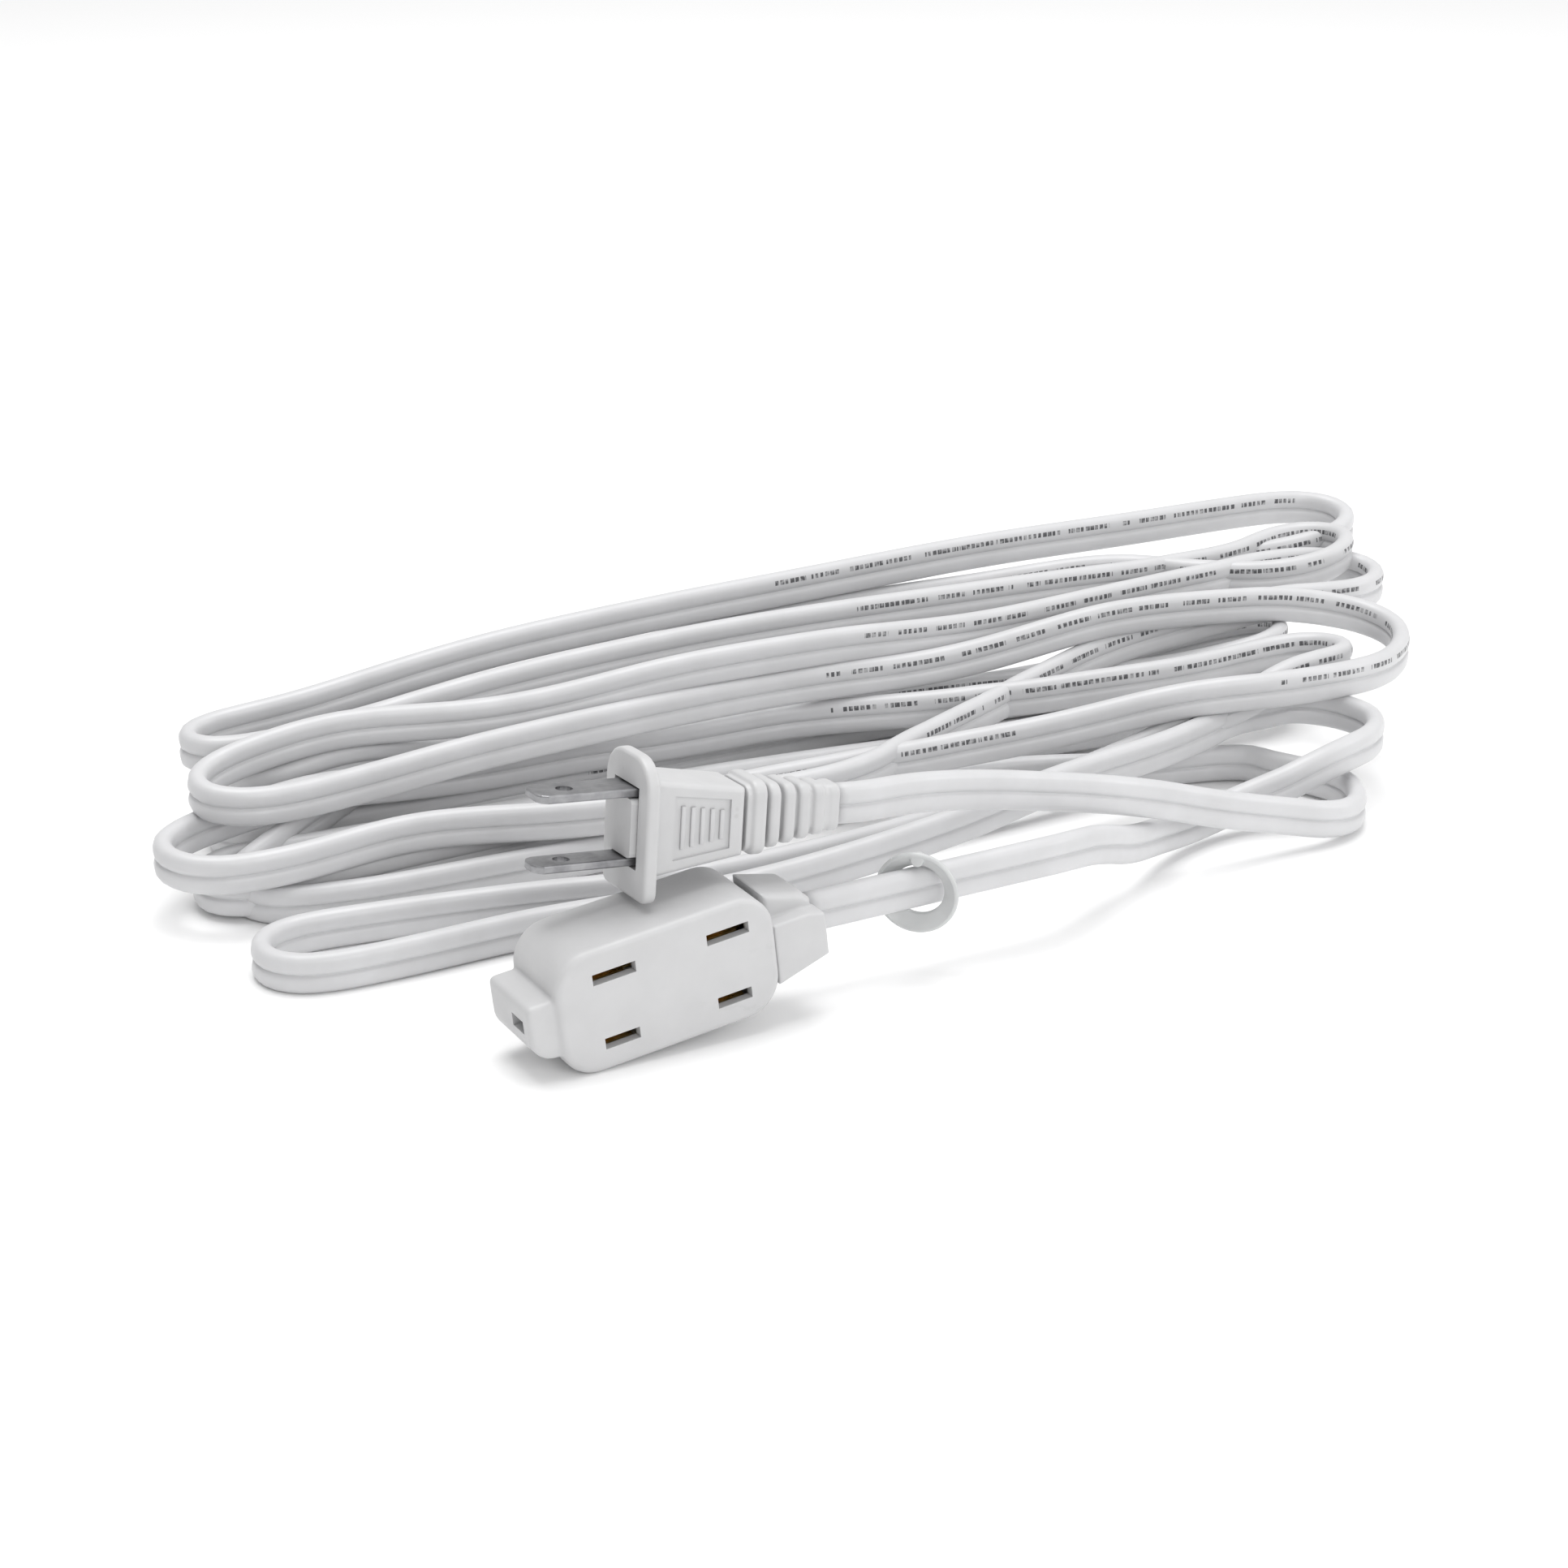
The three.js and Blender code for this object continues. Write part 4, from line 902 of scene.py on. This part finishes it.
plug = {
    "flangeHalfY": 8.7, "flangeHalfZ": 12.85, "flangeThick": 2.5, "flangeCorners": (2, 2, 6, 6), "flangeEdge": 0.6,
    "bodyEnd": 20.4, "rootHigh": 17.7, "tailHigh": 12.4, "bodyDeep": 12.6, "bodyEdge": 1.5, "bodyLap": 0.8,
    "voxel": 0.25, "softenings": 3,
    # the sunk panel: start, end, and the margins above and below it at both ends
    "panelStart": 6.4, "panelEnd": 17.4, "startMargin": 2.4, "endMargin": 2.2, "recess": 0.5,
    "bridgeRoom": (3.7, 4.9, 7.4), "crimpRoom": (3.4, 7.3, 1.8, 3.5), "passageStart": 7,
    "neckHole": (3.5, 4.7, 1.5), "neckHoleDeep": 2,
}
gripRidges = {
    "count": 5, "pitch": 1.9, "start": 8.2, "halfWide": 0.4, "margin": 4.1, "sunk": 0.05, "edge": 0.2,
    "narrowing": 0.08, "sharpFrom": 50,
}


def plugHalf(x):  # half the plug's height at this distance from its face
    share = (x - plug["flangeThick"]) / (plug["bodyEnd"] - plug["flangeThick"])
    return (plug["rootHigh"] + share * (plug["tailHigh"] - plug["rootHigh"])) / 2


def makePlugBody():
    halfY, halfZ = plug["flangeHalfY"], plug["flangeHalfZ"]
    flange = roundedPlate(roundedLoop(-halfY, halfY, -halfZ, halfZ, plug["flangeCorners"]), 0,
                          plug["flangeThick"], plug["flangeEdge"], alongX)
    root, end, deep = plug["flangeThick"] - plug["bodyLap"], plug["bodyEnd"], plug["bodyDeep"] / 2
    side = [(root, -plugHalf(root)), (end, -plugHalf(end)), (end, plugHalf(end)), (root, plugHalf(root))]
    body = roundedPlate(side, -deep, deep, plug["bodyEdge"], alongY)
    recess, first, last = plug["recess"], plug["panelStart"], plug["panelEnd"]
    firstHalf, lastHalf = plugHalf(first) - plug["startMargin"], plugHalf(last) - plug["endMargin"]
    panel = [(first, -firstHalf), (last, -lastHalf), (last, lastHalf), (first, firstHalf)]
    bridgeEnd, bridgeY, bridgeZ = plug["bridgeRoom"]
    crimpStart, crimpEnd, crimpY, crimpZ = plug["crimpRoom"]
    cuts = [
        roundedPlate(panel, deep - recess, deep + cutPast, 0.0, alongY, 1),
        roundedPlate(panel, -deep - cutPast, recess - deep, 0.0, alongY, 1),
        box(-cutPast, bridgeEnd, -bridgeY, bridgeY, -bridgeZ, bridgeZ),
        box(crimpStart, crimpEnd, -crimpY, crimpY, -crimpZ, crimpZ),
        passage(plug["passageStart"], end + cutPast),
        slab(end - plug["neckHoleDeep"], end + cutPast, 0, *plug["neckHole"]),
    ]
    return mouldedPiece("plug_body", [flange, body], cuts, plug["voxel"], plug["softenings"], plugPlace,
                        whiteVinyl, "cord_set", ["plug_shell"])


def makeGripRidges():
    surface = plug["bodyDeep"] / 2
    high = plugHalf(gripRidges["start"]) - gripRidges["margin"]
    wide, sunk = gripRidges["halfWide"], gripRidges["sunk"]
    ridge = roundedPlate([(-wide, -high), (wide, -high), (wide, high), (-wide, high)],
                         surface - plug["recess"] - sunk, surface - sunk, gripRidges["edge"], alongY, 2)
    front = repeated(ridge, gripRidges["start"], gripRidges["count"], gripRidges["pitch"], 0.0,
                     gripRidges["narrowing"])
    back = ([(x, -y, z) for x, y, z in front[0]], front[1])
    made = addToScene("plug_grip_ridges", meshOf("plug_grip_ridges", [front, back]))
    finishPiece(made, plugPlace, gripRidges["sharpFrom"], whiteVinyl)
    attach(made, "cord_set")
    return made


relief = {
    "start": 20.7, "end": 41.2, "voxel": 0.2, "softenings": 2,
    # half depth, half height, corner and edge of each part
    "neck": (3.2, 4.4, 1.2), "rim": (5.3, 6.1, 2, 0.3), "collar": (5.9, 6.8, 2.4, 0.8), "core": (3.1, 4.3, 2, 0.3),
    "rib": (5.2, 6, 2.4, 0.75), "ribs": 5, "ribGap": 0.9, "ribLead": 0.8, "narrowing": (0.095, 0.07),
    # along the plug, from the body's end, the start or the end
    "neckInto": (1.7, 1), "rimFrom": 0.4, "rimTo": 2, "collarFrom": 1.4, "collarTo": 4.3,
    "coreLap": 0.5, "coreInset": 0.3,
}


def makePlugRelief():
    start, end = relief["start"], relief["end"]
    ribStart = start + relief["collarTo"]
    pitch = (end - ribStart) / relief["ribs"]
    before, after = relief["neckInto"]
    rib = slab(0, pitch - relief["ribGap"], 0, *relief["rib"])
    solids = [
        slab(plug["bodyEnd"] - before, start + after, 0, *relief["neck"]),
        slab(start + relief["rimFrom"], start + relief["rimTo"], 0, *relief["rim"]),
        slab(start + relief["collarFrom"], ribStart, 0, *relief["collar"]),
        slab(ribStart - relief["coreLap"], end - relief["coreInset"], 0, *relief["core"]),
        repeated(rib, ribStart + relief["ribLead"], relief["ribs"], pitch, *relief["narrowing"]),
    ]
    return mouldedPiece("plug_relief", solids, [passage(0, end + cutPast)], relief["voxel"], relief["softenings"],
                        plugPlace, whiteVinyl, "cord_set", ["plug_strain_relief"])


plugBody = makePlugBody()
plugRidges = makeGripRidges()
plugRelief = makePlugRelief()
print("plug made")


ring = {
    "hole": 4.8, "outer": 7.9, "thick": 1.3, "dish": 1.9, "boss": 1.25, "bossHigh": 0.8, "bossEdge": 0.35,
    "turn": 134.0, "place": (53.491, 0, 16.404), "sides": 96, "bossSides": 32, "rimSteps": 6,
    "rimReach": 0.9, "voxel": 0.14, "softenings": 2,
}


def circle(radius, sides):
    return [(radius * math.cos(2 * math.pi * k / sides), radius * math.sin(2 * math.pi * k / sides))
            for k in range(sides)]


def latheY(profile, sides):  # a closed profile of (radius, height) turned about Y
    verts = [(x, height, z) for radius, height in profile for x, z in circle(radius, sides)]
    faces = []
    for row in range(len(profile)):
        following = (row + 1) % len(profile)
        for k in range(sides):
            after = (k + 1) % sides
            faces.append((row * sides + k, row * sides + after, following * sides + after, following * sides + k))
    return verts, faces


def makeRing():
    hole, outer, thick, dish = ring["hole"], ring["outer"], ring["thick"], ring["dish"]
    base, rim, steps = -thick / 2, thick / 2, ring["rimSteps"]
    bend = outer - ring["rimReach"]  # from here out the ring turns into its round rim
    profile = [(hole + 0.15, base), (bend, base + dish - 0.3), (outer - 0.5, base + dish)]
    for step in range(steps + 1):
        angle = -math.pi / 2 + math.pi * step / steps
        profile.append((outer - rim + rim * math.cos(angle), base + dish + rim + rim * math.sin(angle)))
    profile += [(bend, base + dish + thick - 0.25), (hole + 0.15, base + thick), (hole, base + thick - 0.2),
                (hole, base + 0.2)]
    dished = latheY(profile, ring["sides"])
    across = (hole + outer) / 2
    bossLoop = [(x, across + z) for x, z in circle(ring["boss"], ring["bossSides"])]
    low = (dish + ring["bossHigh"]) / 2 - (ring["bossHigh"] + thick) / 2
    boss = roundedPlate(bossLoop, low, low + ring["bossHigh"] + thick, ring["bossEdge"], alongY, 3)
    turned = Matrix.Translation(Vector(ring["place"]) * millimetre) @ Matrix.Rotation(
        math.radians(ring["turn"]), 4, "Z") @ Matrix.Scale(millimetre, 4)
    return mouldedPiece("clear_ring", [dished, boss], [], ring["voxel"], ring["softenings"], turned,
                        clearPlastic, "ring", ["slip_ring"])


clearRing = makeRing()
print("ring made")

# The blades, the bridge and the inner pieces keep their shapes and take their finishes.
finishes = {
    "blade": platedBrass, "bus_bar": springBrass, "clip": springBrass, "wire": strandedCopper,
    "core": coreResin, "bridge": whiteVinyl,
}
for nodeName, node in frame["nodes"].items():
    if node.hide_render:
        continue
    for word, finish in finishes.items():
        if word in nodeName:
            node.data.materials.clear()
            node.data.materials.append(finish)
print("blades and inner pieces finished")

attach(flatCord, "cord_set")
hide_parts("cord_tap_lead", "cord_plug_lead", "cord_hank")
